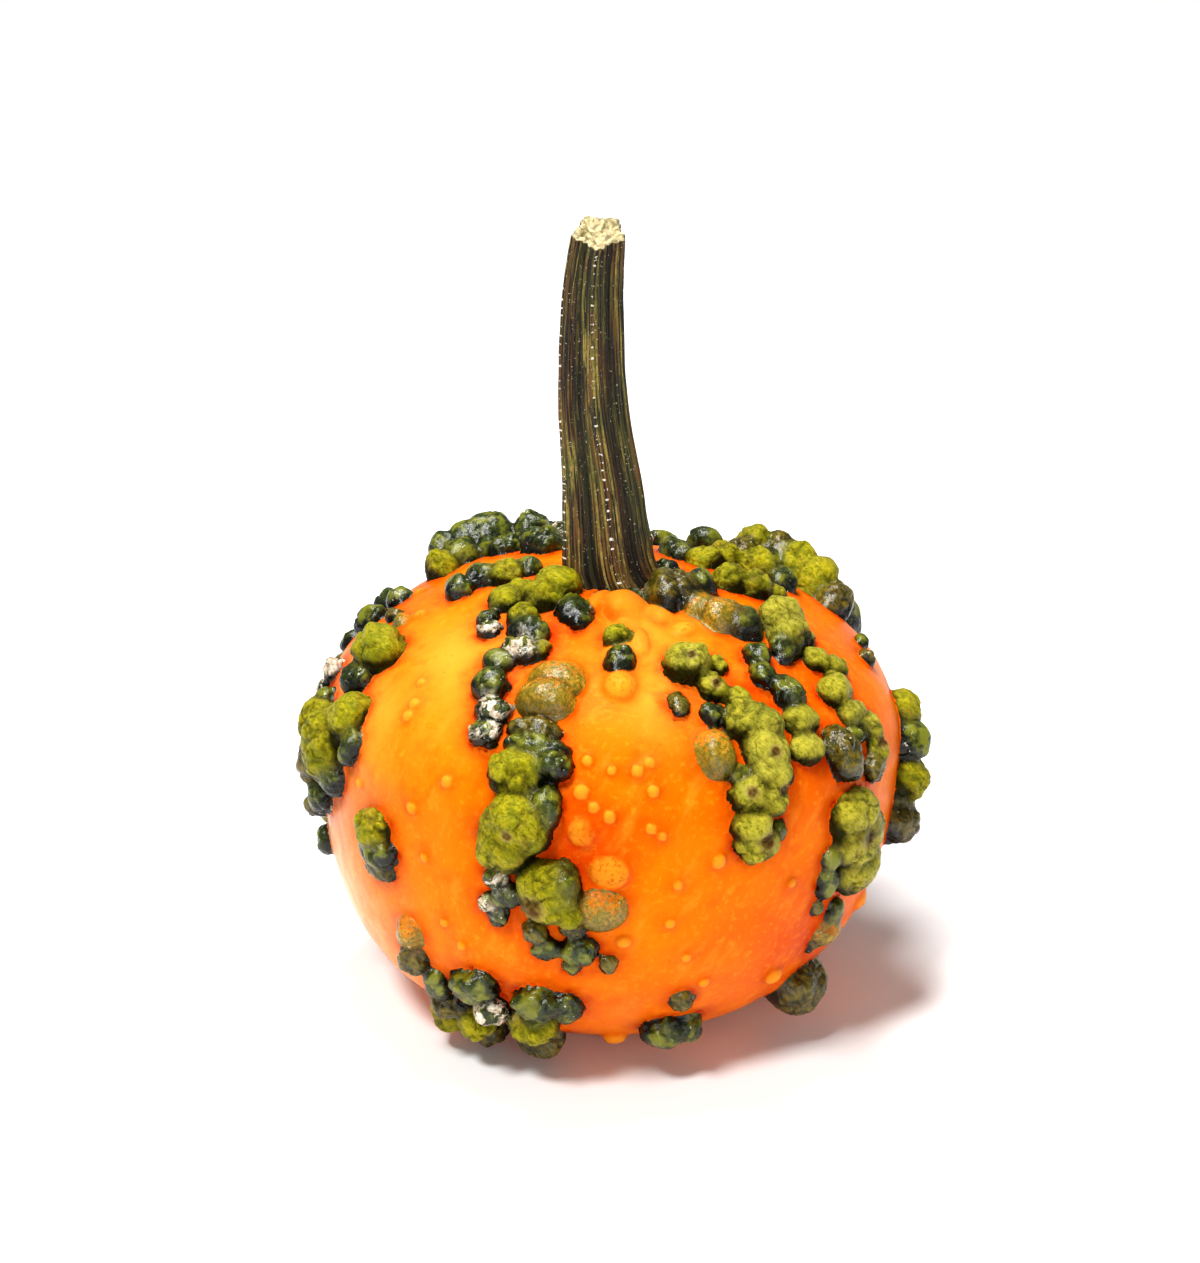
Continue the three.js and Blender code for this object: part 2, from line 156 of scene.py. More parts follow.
CORKY_CHAIN = (
    (-35.5, 59.5, 10, 9, "dark"),
    [(-33, 65, 12, 11.5, "dark"), (-29, 70, 12, 10, "cork"), (-28.5, 74.5, 10.5, 9.5, "cork")],
)
FRONT_LEFT = (
    [(-17, 60.5, 16, 15, "russet", 5), (-18, 65.5, 17, 13.5, "russet", 7)],
    [(-18, 72, 16.5, 8, "olive", 5), (-16.5, 75, 20.5, 7.5, "dark", 6.5),
     (-19.5, 80, 18, 14, "lime", 9), (-12.2, 77.8, 11.5, 10.5, "dark", 8)],
    [(-17.5, 88.5, 22, 19, "lime", 11), (-19.5, 92.5, 18, 17, "lime", 10.5), (-12.5, 85, 9, 14, "dark", 7)],
    (-21.5, 99.5, 9, 8, "cork"), (-19.5, 103, 9.5, 9, "dark"), (-23, 105.5, 7.5, 8, "cork"),
    (-21, 107.5, 6.5, 8.5, "dark"),
    [(-11.5, 100.5, 19, 20.5, "lime", 10), (-8.5, 98.5, 9, 14, "dark", 8), (-7.5, 104.5, 9, 8, "lime", 8)],
    (-6, 88.5, 9, 9.5, "ember"), (-0.7, 96, 13.5, 12, "ember"),
    (-1.8, 103.8, 14, 13.5, "russet", 5), (-7, 108, 8, 7, "olive"), (-14, 109.5, 8, 8, "olive"),
    (-12, 113, 9, 8, "dark"), (-5.5, 112.5, 11, 10.5, "dark"), (-7, 116.5, 6.5, 6, "dark"),
    (-0.3, 115.4, 6, 7.5, "olive"),
)
FOOT_FRONT = (
    (-38, 127, 9, 13, "dark"), (-28, 124.2, 17, 12, "dark", 7), (-25.5, 129.5, 12, 13, "cork", 8),
    (-39, 133, 12, 12, "olive"), (-31.5, 136, 14, 12, "lime", 9.5), (-43, 139, 14, 12, "lime", 9),
    (-34, 143, 14, 11, "olive", 8.5), [(-14.3, 125.8, 17, 11.5, "dark", 8.5), (-8.3, 127, 10, 13, "dark")],
    (-16.5, 133, 17, 10.5, "lime", 9.5), (-17.5, 141.5, 16, 11, "olive", 9.5),
    (16, 125.7, 8, 8.5, "olive"), (14, 135, 15, 12, "dark", 8.5), (20, 134.5, 10, 10, "dark", 7.5),
    (15.5, 142, 10, 8, "lime"),
)
FOOT_OF_STEM = (
    (-17, 30, 8.5, 21, "pad", 4.2), (7, 27.5, 18, 18, "pad", 4), (25, 34, 10, 13, "pad", 3.4),
    (-3, 21.5, 8, 6, "olive", 4), (12, 22, 9, 6.5, "dark", 4.5), (-18, 21.5, 7, 6, "cork", 4),
    (27, 22.5, 8, 6, "cork", 4.5),
)
FRONT_MIDDLE = (
    (-0.6, 45, 9, 9, "lime"), (0.4, 53.5, 9.5, 11, "dark"), (0.5, 60, 10, 11.5, "ember", 3.5),
    (8.3, 46, 6, 15, "pad", 2.2), (30, 42.5, 8, 7, "ember"), (0.4, 52, 14, 27, "pad", 2.4),
)
FRONT_RIGHT = (
    (21, 55.7, 15.5, 15, "lime"), (32, 56.5, 5.5, 9, "lime"), (26, 62.3, 9.5, 10.5, "lime"),
    (22.5, 68, 8.5, 8, "dark"), (15, 65, 6.5, 10, "olive", 2.5), (20.5, 75.5, 11, 15, "russet", 6),
    [(31, 66, 8, 9.5, "lime"), (29.5, 70.5, 14, 13, "lime", 8), (33, 72.5, 12, 14, "lime", 8.5),
     (31.5, 76.5, 14.5, 15, "lime", 8.5), (31, 80.5, 13.5, 14, "lime", 8)],
    (24, 79.5, 7, 6.5, "dark"),
    [(25, 83.2, 12, 10.5, "lime", 8), (30, 85, 9.5, 10, "lime", 8)],
    [(25.5, 88.5, 13, 10.5, "lime", 8.5), (26.5, 92.5, 15, 11, "lime", 8.5)], (31.5, 91, 6, 7.5, "dark"),
)
SIDE_RIGHT = (
    (45.5, 57.5, 10, 10, "dark"), (41.5, 62.5, 9, 10, "dark"), (44.5, 67.5, 11, 13, "dark"),
    (43.2, 73.2, 12.5, 10, "lime"), (41, 78, 12.5, 10, "lime"), (57, 60, 12, 8, "dark"),
    (63.5, 64.5, 9, 9, "lime"), (66.5, 67.7, 9, 9, "lime"), (59.5, 71.3, 14, 11, "lime"),
    [(59.5, 76.3, 11.5, 9, "lime"), (62.5, 80, 9, 11, "lime"), (62, 84, 8.5, 11, "lime"),
     (59, 87, 9, 9.5, "olive")],
    (56.6, 80, 7, 7, "dark"), (49.5, 81.3, 13, 18.5, "olive", 7.5),
    [(50.5, 92.5, 20.5, 15, "lime", 8.5), (53, 98.5, 23.5, 19, "lime", 9), (54, 105, 20.5, 18, "lime", 8.5),
     (52, 95.5, 20, 16, "lime", 8.5)],
    (45.6, 100.5, 8.5, 7.5, "dark"), (45, 105.5, 8, 11.5, "dark"), (44, 110.5, 5, 5, "olive"),
    (50, 113, 8, 8, "dark"), (49.5, 117.5, 10, 10, "russet"), (47, 120.5, 5, 6, "olive"),
    (66, 118, 8, 8, "ember"), (45, 131, 6, 8, "ember"), (51, 132.5, 20, 19, "olive", 11.5),
)
EDGE_RIGHT = (
    (95.5, 73.5, 6.5, 6, "dark"), (86, 73.5, 6.5, 6.5, "olive"), (88, 87, 15, 14, "lime"),
    [(83, 91, 15, 13, "dark", 10), (81, 98, 16, 15, "lime", 10.5)], (79, 106.5, 16, 14, "olive", 10.5),
)
STEM_RIGHT = (
    (100, 18.5, 9.5, 9, "dark"), [(43, 27, 18, 17.5, "olive", 9), (64, 30, 14, 13, "dark", 8)],
    (54.5, 36.5, 7, 7, "ember"),
    [(47.5, 38.5, 12, 11, "russet", 6), (50, 43.7, 15, 14, "russet", 7.5),
     (54, 48.5, 13.5, 12.5, "dark", 7.5)],
    [(70, 53, 16, 14.5, "lime", 9), (65, 57, 15, 13, "lime", 8.5), (58.5, 58.5, 13, 9, "dark")],
    (70, 60.3, 6.5, 6, "lime"), [(89.5, 37.5, 13.5, 12, "lime", 8), (91, 45, 13, 13, "lime", 8)],
    (93, 51, 9, 9, "lime"), (140, 32.5, 13, 10, "dark"), (145, 50, 13, 11, "dark", 9),
    [(121, 35.5, 12.5, 12, "lime"), (124, 44, 13, 13, "lime", 8.5), (117, 51, 14, 13, "lime", 9),
     (109.5, 55.5, 12, 11, "dark")],
    [(137, 61, 15, 13, "lime", 15), (130.5, 63.5, 15, 14, "olive", 16), (124, 65.5, 16, 15, "lime", 16),
     (117.5, 67.5, 16, 15, "lime", 14), (110.5, 69.5, 14, 13, "olive", 10)],
    (136, 57, 12, 11, "olive", 9), (128, 60, 13, 12, "dark", 9),
)
STEM_BEHIND = (
    [(-86, 50.5, 12, 10.5, "dark"), (-91, 44.5, 12, 11.5, "dark")],
    [(-89, 37.5, 12.5, 11, "lime"), (-93.5, 31.5, 10, 9, "dark")],
    (-118.5, 62, 12, 12, "lime", 8.5), (-126, 60, 13, 12, "dark", 9),
    (-134, 57, 12, 12, "dark"), (-134, 50.5, 12, 11, "dark"), (-143, 50.5, 12, 12, "dark"),
    (-137.5, 38.5, 15, 14.5, "dark"), (-128, 65, 14, 13, "dark", 13),
    [(-139, 60, 20, 16, "dark", 15), (-133, 62.5, 14, 13, "dark", 14), (-150, 55, 15, 14, "dark", 13)],
    (-158, 47, 12, 11, "cork", 8.5), (-166, 42, 11, 10, "cork", 8),
)

# Round brown scars on the warts: longitude, polar angle, half width in millimetres
EYES = (
    (24.5, 81.5, 2.2), (31.5, 82.5, 2.2), (27, 90.5, 3.2), (31, 75.5, 2.2), (25.5, 61, 2.6),
    (51.5, 96.5, 3.4), (-17.8, 88.5, 2), (-13.5, 101.5, 4.2), (62, 82.5, 2.5), (21, 53.5, 2.2),
)

# Patches of the skin, by longitude, polar angle and spread in degrees: pale ones that are a painted
# reflection of the floor, ruddy ones that are painted shade low on the right and redder skin elsewhere,
# and golden ones that are yellower shoulders with painted highlights
PALE_REFLECTION_PLACES = ((-84, 106, 19), (-72, 122, 17))
RUDDY_AND_SHADE_PLACES = ((46, 120, 17), (38, 84, 8), (-6, 92, 8), (-30, 48, 7))
GOLDEN_AND_HIGHLIGHT_PLACES = ((-48, 58, 20), (12, 46, 16), (-60, 80, 12), (12, 62, 10), (-30, 66, 10))

# Where the limes are bright: longitude, polar angle, spread in degrees
BRIGHT_PLACES = (
    (31, 77, 12), (52, 98, 13), (21, 55.5, 7), (28, 90, 8), (43, 76, 6), (68, 54, 12), (62, 74, 9),
)

# Small bumps on the open skin: longitude, polar angle, width
PIMPLES = (
    (-49, 73.5, 4), (-48.5, 76, 4), (-52, 69.5, 3), (-33, 84, 4), (-40, 91, 4), (-29.5, 116, 3.5),
    (-6, 76, 4), (-1, 77.5, 3), (4, 77.5, 4), (6.5, 76, 3.5), (7, 81, 4), (-6.5, 81.5, 5),
    (-4, 84, 3.5), (-1, 85.5, 4), (6.5, 87.5, 3.5), (8.5, 89, 3), (19.5, 95, 5), (2.5, 110.5, 4.5),
    (20, 122, 4), (38, 125, 7), (3, 143, 8), (-56, 92, 3.5), (-37, 100, 3), (12, 99, 3),
    (11, 107, 3.5), (36, 103, 3), (-33, 112, 3), (15, 115, 3),
)

# The side that the front view hides carries chains of the same kind: longitude and first polar
# angle. Each starts up to a few degrees lower and sways from its longitude.
HIDDEN_CHAINS = (
    (104, 96), (127, 78), (150, 66), (173, 54), (-164, 68), (-141, 76), (-119, 84), (-99, 102),
)
HIDDEN_START = 6
HIDDEN_FOOT = 134
HIDDEN_LEAST = 12
HIDDEN_MOST = 22
HIDDEN_SWAY = 7
HIDDEN_SPACING = 0.95
HIDDEN_SEED = 4127
HIDDEN_KINDS = ("lime", "dark", "olive", "dark", "lime", "cork")

# The stem: sideways and backward offset of its middle line, height, and mean radius, in millimetres
STEM_LINE = (
    (0.8, 0, 146, 18.5), (0.4, 0, 153, 17.2), (-2.2, 0, 163, 14.6), (-4.1, 1, 190, 12.4),
    (-7.0, 2, 219, 10.7), (-6.9, 2, 253, 9.4), (-4.9, 1, 276, 8.2),
)
STEM_RINGS = 260
STEM_SIDES = 200

# Its relief as shares of its radius, and how far its ridges' waves shift on the way up, in radians
STEM_RIDGES = 5
STEM_RIDGE_SHARE = 0.13
STEM_RIB_SHARE = 0.036
STEM_FIBRE_SHARE = 0.016
STEM_KNOB_SHARE = 0.02
STEM_TWIST = 2.0

# The cut: its slope, the share of the stem where that begins, its rim, its sunk inside and its
# rough surface
CUT_RINGS = 26
CUT_TILT = 0.42
CUT_START = 0.93
CUT_RIM = 0.8
CUT_SUNK = 1.6
CUT_MIDDLE_SUNK = 1.4
CUT_ROUGHNESS = 0.9

# The pattern of the fibres is laid round a straight stem of this radius
GRAIN_RADIUS = 11.0

# The pale dots along the stem's ridges: metres apart, and their size as a squared share of that
DOTS_APART = 0.0032
DOT_SIZE = 0.009
DOT_NARROWNESS = 1.6
DOT_STRAY = 0.012

# The grid of the fruit's field: spacing, corners, steps to a block, how far past the skin it is
# worked out and what it holds further out, and the triangles that are kept
CELL = 0.8
GRID_LOW = (-118.0, -118.0, -4.0)
GRID_HIGH = (118.0, 118.0, 172.0)
BLOCK = 8
BAND = 9.0
FAR = 50.0
FRUIT_TRIANGLES = 190000

# How far a wart's colours reach, how softly kinds blend, how much fainter the painted crease shade is
# between the lobes of one wart, and how fast the painted crease shade and the red painted shade on the
# skin round a wart fade, in mm
REACH_AROUND = 12.0
KIND_BLEND = 0.9
LOBE_CREASE_SHADE = 0.2
CREASE_SHADE_FADE = 0.8
RED_SHADE_FADE = 3.5

# The folds between a wart's small lobes: millimetres apart, width and sway as shares of that, and
# depth in millimetres
FOLD_APART = 7.0
FOLD_SHARE = 0.3
FOLD_SWAY = 0.35
FOLD_DEPTH = 1.0

# Height and spacing of the waves and wrinkles of the skin, the corky warts and the others, in mm
EYE_DEPTH = 0.9
SKIN_WAVES = (0.45, 15)
SKIN_GRAIN = (0.06, 3)
CORK_CRUST = (0.9, 3.5)
CORK_SUNK = 0.3
WART_WAVES = (0.6, 4.6)
WART_WRINKLES = (0.45, 2.4)
WART_RAISED = 0.1

# The floor in metres, the sun with its spread in degrees, the round lamps by name, place, width in
# metres and watts, and the pale surroundings
FLOOR_HALF = 3.0
FLOOR_COLOUR = (0.9, 0.9, 0.89, 1)
FLOOR_ROUGHNESS = 0.85
SUN_PLACE = (-0.45, -0.6, 1.3)
SUN_STRENGTH = 2.4
SUN_SPREAD = 12
LAMPS = (("overhead", (-0.1, 0.1, 1.3), 0.45, 14), ("front", (0.25, -1.3, 0.35), 0.9, 5))
LAMP_AIM = (0, 0, 0.09)
SKY_COLOUR = (0.97, 0.98, 1.0, 1)
SKY_STRENGTH = 0.28


def make_draw(seed):
    """A repeatable draw from 0 to 1."""
    state = seed

    def draw():
        nonlocal state
        state = state * 16807 % 2147483647
        return state / 2147483647

    return draw


def angle_apart(lon, middle):
    """Degrees between two longitudes, 0 to 180."""
    return np.abs((np.degrees(lon) - middle + 540) % 360 - 180)


def skin_radius(lon, polar):
    """Distance of the skin from the fruit's middle in a direction given in radians."""
    above = np.cos(polar) >= 0
    height = np.where(above, SHOULDER_HEIGHT, BELLY_DEPTH)
    power = np.where(above, SHOULDER_POWER, BELLY_POWER)
    across = (np.abs(np.sin(polar)) / HALF_WIDTH) ** power
    upward = (np.abs(np.cos(polar)) / height) ** power
    radius = (across + upward) ** (-1 / power)
    below = np.degrees(polar)
    radius = radius - DIMPLE_DEPTH * np.exp(-((below / DIMPLE_SPREAD) ** 2))
    cheek = radians(CHEEK_POLAR)
    toward = np.cos(polar) * cos(cheek)
    toward = toward + np.sin(polar) * sin(cheek) * np.cos(lon - radians(CHEEK_LON))
    radius = radius + CHEEK_RISE * np.exp((toward - 1) / (1 - cos(radians(CHEEK_SPREAD))))
    upper = np.clip(np.cos(polar) + GROOVE_BELOW, 0, 1)
    over = np.sin(polar) * (GROOVE_LEAST + (1 - GROOVE_LEAST) * upper)
    for middle in GROOVES:
        near = np.exp(-((angle_apart(lon, middle) / GROOVE_HALF_WIDTH) ** 2))
        radius = radius - GROOVE_DEPTH * over * near
    for middle, depth, half_width, reach in FURROWS:
        near = np.exp(-((angle_apart(lon, middle) / half_width) ** 2))
        fading = np.exp(-(((below - FURROWS_DEEPEST) / reach) ** 2))
        radius = radius - depth * near * fading * np.minimum(below / FURROWS_DEEPEST, 1)
    return radius


def to_body(points):
    """Longitude, polar angle and distance from the fruit's middle, with its lean taken out."""
    x, y, z = points[..., 0], points[..., 1], points[..., 2] - MIDDLE_HEIGHT
    across = x * cos(LEAN) - z * sin(LEAN)
    upward = x * sin(LEAN) + z * cos(LEAN)
    distance = np.sqrt(across**2 + y**2 + upward**2) + 1e-9
    return np.arctan2(across, -y), np.arccos(np.clip(upward / distance, -1, 1)), distance


def skin_point(lon, polar):
    """The point of the skin in a direction given in radians."""
    radius = float(skin_radius(np.float64(lon), np.float64(polar)))
    across = radius * sin(polar) * sin(lon)
    forward = -radius * sin(polar) * cos(lon)
    upward = radius * cos(polar)
    x = across * cos(LEAN) + upward * sin(LEAN)
    z = upward * cos(LEAN) - across * sin(LEAN)
    return Vector((x, forward, z + MIDDLE_HEIGHT))


def skin_axes(lon, polar):
    """East, north and outward directions on the skin."""
    step = 0.01
    east = (skin_point(lon + step, polar) - skin_point(lon - step, polar)).normalized()
    up = (skin_point(lon, polar - step) - skin_point(lon, polar + step)).normalized()
    out = east.cross(up).normalized()
    return east, out.cross(east), out


class Wart:
    """One rounded, slightly lobed bead that stands off the skin."""

    def __init__(self, kind, middle, axes, half, draw):
        self.kind = kind
        self.middle = np.array(middle)
        self.axes = np.array(axes)
        self.half = np.array(half)
        self.waves = [2 * pi * draw() for _ in range(5)]

    def local(self, points):
        return (points - self.middle) @ self.axes.T

    def distance(self, local):
        """Signed distance of local points from the bead, with low lobes on its surface."""
        scaled = np.abs(local / self.half)
        share = (scaled**SQUARENESS).sum(-1) ** (1 / SQUARENESS) + 1e-6
        length = np.sqrt((local**2).sum(-1)) + 1e-6
        a, b, c, d, e = self.waves
        x, y, z = (local * (2.1 / self.half)).T
        lobes = np.sin(x * 1.3 + a) * np.sin(y * 1.1 + b) + 0.6 * np.sin(x * 2.3 - y * 1.7 + c + z)
        lobes = lobes + 0.5 * np.sin(y * 2.6 + x * 1.1 + d) * np.cos(z * 2.0 + e)
        size = SMOOTH_BUMPS if self.kind in (*LOW_KINDS, "russet") else BUMPS
        return length * (1 - 1 / share) - size * min(self.half) * lobes


def wart_from(row, draw):
    """The wart of a row of the lists, rooted in the skin with its pole outward."""
    lon, polar, wide, tall, kind = row[:5]
    lon, polar = radians(lon), radians(polar)
    low = kind in LOW_KINDS
    share = PIMPLE_RISE_SHARE if kind == "pimple" else LOW_RISE_SHARE if low else RISE_SHARE
    rise = row[5] if len(row) > 5 else share * min(wide, tall)
    swell = 1.0 if low else SWELL
    half = swell * rise / (1 + ROOTED_SHARE)
    depth = max(half, LOW_DEPTH_SHARE * min(wide, tall)) if low else half * DEPTH_SHARE
    axes = skin_axes(lon, polar)
    middle = skin_point(lon, polar) + axes[2] * (swell * rise - depth)
    return Wart(kind, middle, axes, (swell * wide / 2, swell * tall / 2, depth), draw)


def saddle_between(one, other, draw):
    """The lower body that joins two neighbours of a chain, or nothing if they are too far apart."""
    along = other.middle - one.middle
    apart = float(np.linalg.norm(along))
    sizes = [float(np.mean(wart.half[:2])) for wart in (one, other)]
    if apart > JOIN_WITHIN * sum(sizes):
        return None
    along = along / apart
    out = one.axes[2] + other.axes[2]
    out = out - along * (out @ along)
    out = out / np.linalg.norm(out)
    middle = (one.middle + other.middle) / 2
    across = SADDLE_SHARE * min(sizes)
    depth = SADDLE_SHARE * min(one.half[2], other.half[2])
    darker = one if one.kind != "lime" else other
    return Wart(darker.kind, middle, (along, np.cross(out, along), out), (apart / 2, across, depth), draw)


def chain_of(rows, draw):
    """The warts of one chain as lists of lobes, with saddles between neighbours that stand tall."""
    lobes_of_rows = [row if isinstance(row, list) else [row] for row in rows]
    warts = [[wart_from(lobe, draw) for lobe in lobes] for lobes in lobes_of_rows]
    tall = [wart for wart in warts if wart[0].kind not in (*LOW_KINDS, "russet")]
    saddles = []
    for k, wart in enumerate(tall):
        for other in tall[max(k - JOIN_PLACES, 0) : k]:
            saddles += [[saddle_between(a, b, draw)] for a in wart for b in other]
    return warts + [saddle for saddle in saddles if saddle[0] is not None]


def hidden_rows():
    """Chains down the hidden side: each wart follows the last at a share of their sizes."""
    draw = make_draw(HIDDEN_SEED)
    rows = []
    for middle, first in HIDDEN_CHAINS:
        polar = first + HIDDEN_START * draw()
        while polar < HIDDEN_FOOT:
            wide = HIDDEN_LEAST + (HIDDEN_MOST - HIDDEN_LEAST) * draw() ** 1.6
            tall = wide * (0.75 + 0.35 * draw())
            lon = middle + HIDDEN_SWAY * (2 * draw() - 1)
            kind = HIDDEN_KINDS[int(len(HIDDEN_KINDS) * draw())]
            rows.append((lon, polar, wide, tall, kind))
            polar += degrees(tall * (HIDDEN_SPACING + 0.5 * draw() ** 3) / HALF_WIDTH)
    return rows


def make_warts():
    """All the warts as lists of lobes, in the order in which they are joined to the skin."""
    chains = [
        SHOULDER_LEFT, EDGE_LEFT, CHEEK_LEFT, STEM_FRONT, CORKY_CHAIN, FRONT_LEFT, FOOT_FRONT,
        FRONT_MIDDLE, FRONT_RIGHT, SIDE_RIGHT, EDGE_RIGHT, STEM_RIGHT, STEM_BEHIND, hidden_rows(),
        FOOT_OF_STEM, [(lon, polar, wide, wide, "pimple") for lon, polar, wide in PIMPLES],
    ]
    draw = make_draw(WART_SEED)
    return [wart for rows in chains for wart in chain_of(rows, draw)]


def smooth_least(a, b, soft):
    """The smaller of two fields, rounded where they meet."""
    overlap = np.maximum(soft - np.abs(a - b), 0) / soft
    return np.minimum(a, b) - overlap**2 * soft / 4


class Grid:
    """A regular grid of field values round the fruit, with places in millimetres."""

    def __init__(self):
        self.low = np.array(GRID_LOW)
        blocks = np.ceil((np.array(GRID_HIGH) - self.low) / CELL / BLOCK).astype(int)
        self.shape = tuple((blocks * BLOCK).tolist())
        self.values = np.full(self.shape, FAR, np.float32)

    def places(self, index):
        return self.low + index * CELL

    def sample(self, points):
        """The field between grid points, weighed from the eight around."""
        where = (points - self.low) / CELL
        cell = np.clip(np.floor(where).astype(int), 0, np.array(self.shape) - 2)
        share = where - cell
        total = np.zeros(len(points))
        for corner in np.ndindex(2, 2, 2):
            weight = np.prod(np.where(corner, share, 1 - share), axis=1)
            at = cell + corner
            total += weight * self.values[at[:, 0], at[:, 1], at[:, 2]]
        return total

    def slope(self, points):
        """Which way the field grows fastest."""
        columns = []
        for axis in range(3):
            step = np.zeros(3)
            step[axis] = CELL
            columns.append(self.sample(points + step) - self.sample(points - step))
        slope = np.stack(columns, 1)
        return slope / (np.linalg.norm(slope, axis=1, keepdims=True) + 1e-9)


def body_distance(points):
    """Rough signed distance from the skin, cut flat where the fruit rests."""
    lon, polar, distance = to_body(points)
    skin = distance - skin_radius(lon, polar)
    scar = np.hypot(points[..., 0], points[..., 1]) / SCAR_RADIUS
    rim = np.exp(-(((scar - SCAR_RIM_AT) / SCAR_RIM_WIDTH) ** 2))
    floor = -points[..., 2] + SCAR_DEPTH * np.exp(-(scar**2)) - SCAR_RIM_HEIGHT * rim
    return -smooth_least(-skin, -floor, RESTING_EDGE)


def fill_body(grid):
    """Works out the body's field in the blocks of the grid that the skin passes through."""
    blocks = np.indices([n // BLOCK for n in grid.shape]).reshape(3, -1).T
    middles = grid.places(blocks * BLOCK + (BLOCK - 1) / 2)
    rough = body_distance(middles)
    near = np.abs(rough) < BAND + BLOCK * CELL
    for start in blocks[rough < 0] * BLOCK:
        grid.values[tuple(slice(s, s + BLOCK) for s in start)] = -FAR
    inside = np.indices((BLOCK,) * 3).reshape(3, -1).T
    for start in blocks[near] * BLOCK:
        values = body_distance(grid.places(start + inside)).reshape((BLOCK,) * 3)
        grid.values[tuple(slice(s, s + BLOCK) for s in start)] = values


def add_wart(grid, lobes):
    """Joins one wart to the field: its lobes run softly into one another, then into the skin."""
    soft = BLEND[lobes[0].kind]
    reach = [np.abs(lobe.axes.T) @ (lobe.half * 1.2) + LOBE_BLEND + CELL for lobe in lobes]
    first = np.min([lobe.middle - far for lobe, far in zip(lobes, reach)], axis=0)
    last = np.max([lobe.middle + far for lobe, far in zip(lobes, reach)], axis=0)
    low = np.maximum(np.floor((first - grid.low) / CELL).astype(int), 0)
    high = np.minimum(np.ceil((last - grid.low) / CELL).astype(int) + 1, grid.shape)
    places = grid.places(np.indices(high - low).reshape(3, -1).T + low)
    field = lobes[0].distance(lobes[0].local(places))
    for lobe in lobes[1:]:
        field = smooth_least(field, lobe.distance(lobe.local(places)), LOBE_BLEND)
    box = tuple(slice(a, b) for a, b in zip(low, high))
    grid.values[box] = smooth_least(grid.values[box], field.reshape(high - low), soft)


def surface_net(grid):
    """Points and four-sided faces of the surface where the field is zero."""
    inside = grid.values < 0
    keys, crossings, faces = [], [], []
    for axis in range(3):
        others = [k for k in range(3) if k != axis]
        before = [slice(None)] * 3
        after = [slice(None)] * 3
        before[axis], after[axis] = slice(0, -1), slice(1, None)
        edge = np.argwhere(inside[tuple(before)] != inside[tuple(after)])
        end = edge.copy()
        end[:, axis] += 1
        first = grid.values[tuple(edge.T)].astype(float)
        second = grid.values[tuple(end.T)].astype(float)
        point = edge.astype(float)
        point[:, axis] += first / (first - second)
        around = []
        for step in ((0, 0), (1, 0), (1, 1), (0, 1)):
            cell = edge.copy()
            cell[:, others] -= step
            around.append(np.ravel_multi_index(cell.T, grid.shape))
            keys.append(around[-1])
            crossings.append(point)
        quads = np.stack(around, 1)
        turned = (first < 0) == (axis == 1)
        quads[turned] = quads[turned][:, ::-1]
        faces.append(quads)
    kept, place = np.unique(np.concatenate(keys), return_inverse=True)
    crossings = np.concatenate(crossings)
    count = np.bincount(place)
    points = np.stack([np.bincount(place, crossings[:, k]) / count for k in range(3)], 1)
    return grid.places(points), np.searchsorted(kept, np.concatenate(faces))


def settle(grid, points):
    """Draws the points exactly onto the zero surface, which takes the grid's steps away."""
    for _ in range(2):
        move = np.clip(grid.sample(points), -CELL, CELL)
        points = points - move[:, None] * grid.slope(points)
    return points


def direction(lon, polar):
    """The unit vector from the fruit's middle, for one direction in radians or for many."""
    return np.stack([np.sin(polar) * np.sin(lon), -np.sin(polar) * np.cos(lon), np.cos(polar)], -1)


class Around:
    """What is near each point of the skin: the nearest wart, the gap to the next, and their kinds."""

    def __init__(self, points, warts):
        lon, polar, distance = to_body(points)
        self.toward = direction(lon, polar)
        self.height = distance - skin_radius(lon, polar)
        count = len(points)
        self.nearest = np.full(count, FAR)
        self.second = np.full(count, FAR)
        self.wart = np.full(count, -1)
        self.crest = np.zeros(count)
        self.down = np.zeros(count)
        self.kinds = {kind: np.zeros(count) for kind in BLEND}
        total = np.full(count, 1e-9)
        for number, wart in enumerate(warts):
            for lobe in wart:
                reach = max(lobe.half) + REACH_AROUND
                near = np.nonzero((np.abs(points - lobe.middle) < reach).all(1))[0]
                local = lobe.local(points[near])
                gap = lobe.distance(local)
                own = np.where(self.wart[near] == number, LOBE_CREASE_SHADE, 0)
                closer = gap < self.nearest[near]
                next_gap = np.where(closer, self.nearest[near], gap) + own
                self.second[near] = np.minimum(np.where(closer, FAR, self.second[near]), next_gap)
                self.nearest[near] = np.where(closer, gap, self.nearest[near])
                self.wart[near[closer]] = number
                share = np.exp(-np.clip(gap, -10, 30) / KIND_BLEND)
                total[near] += share
                self.kinds[lobe.kind][near] += share
                self.crest[near] += share * (local / lobe.half)[:, 2]
                self.down[near] -= share * (local / lobe.half)[:, 1]
        for values in (self.crest, self.down, *self.kinds.values()):
            values /= total
        self.low = sum(self.kinds[kind] for kind in LOW_KINDS)

    def places(self, rows):
        """How near each point is to any of some places on the skin, 0 to 1."""
        share = np.zeros(len(self.wart))
        for lon, polar, spread in rows:
            middle = direction(radians(lon), radians(polar))
            away = np.degrees(np.arccos(np.clip(self.toward @ middle, -1, 1)))
            share = np.maximum(share, np.exp(-((away / spread) ** 2)))
        return share


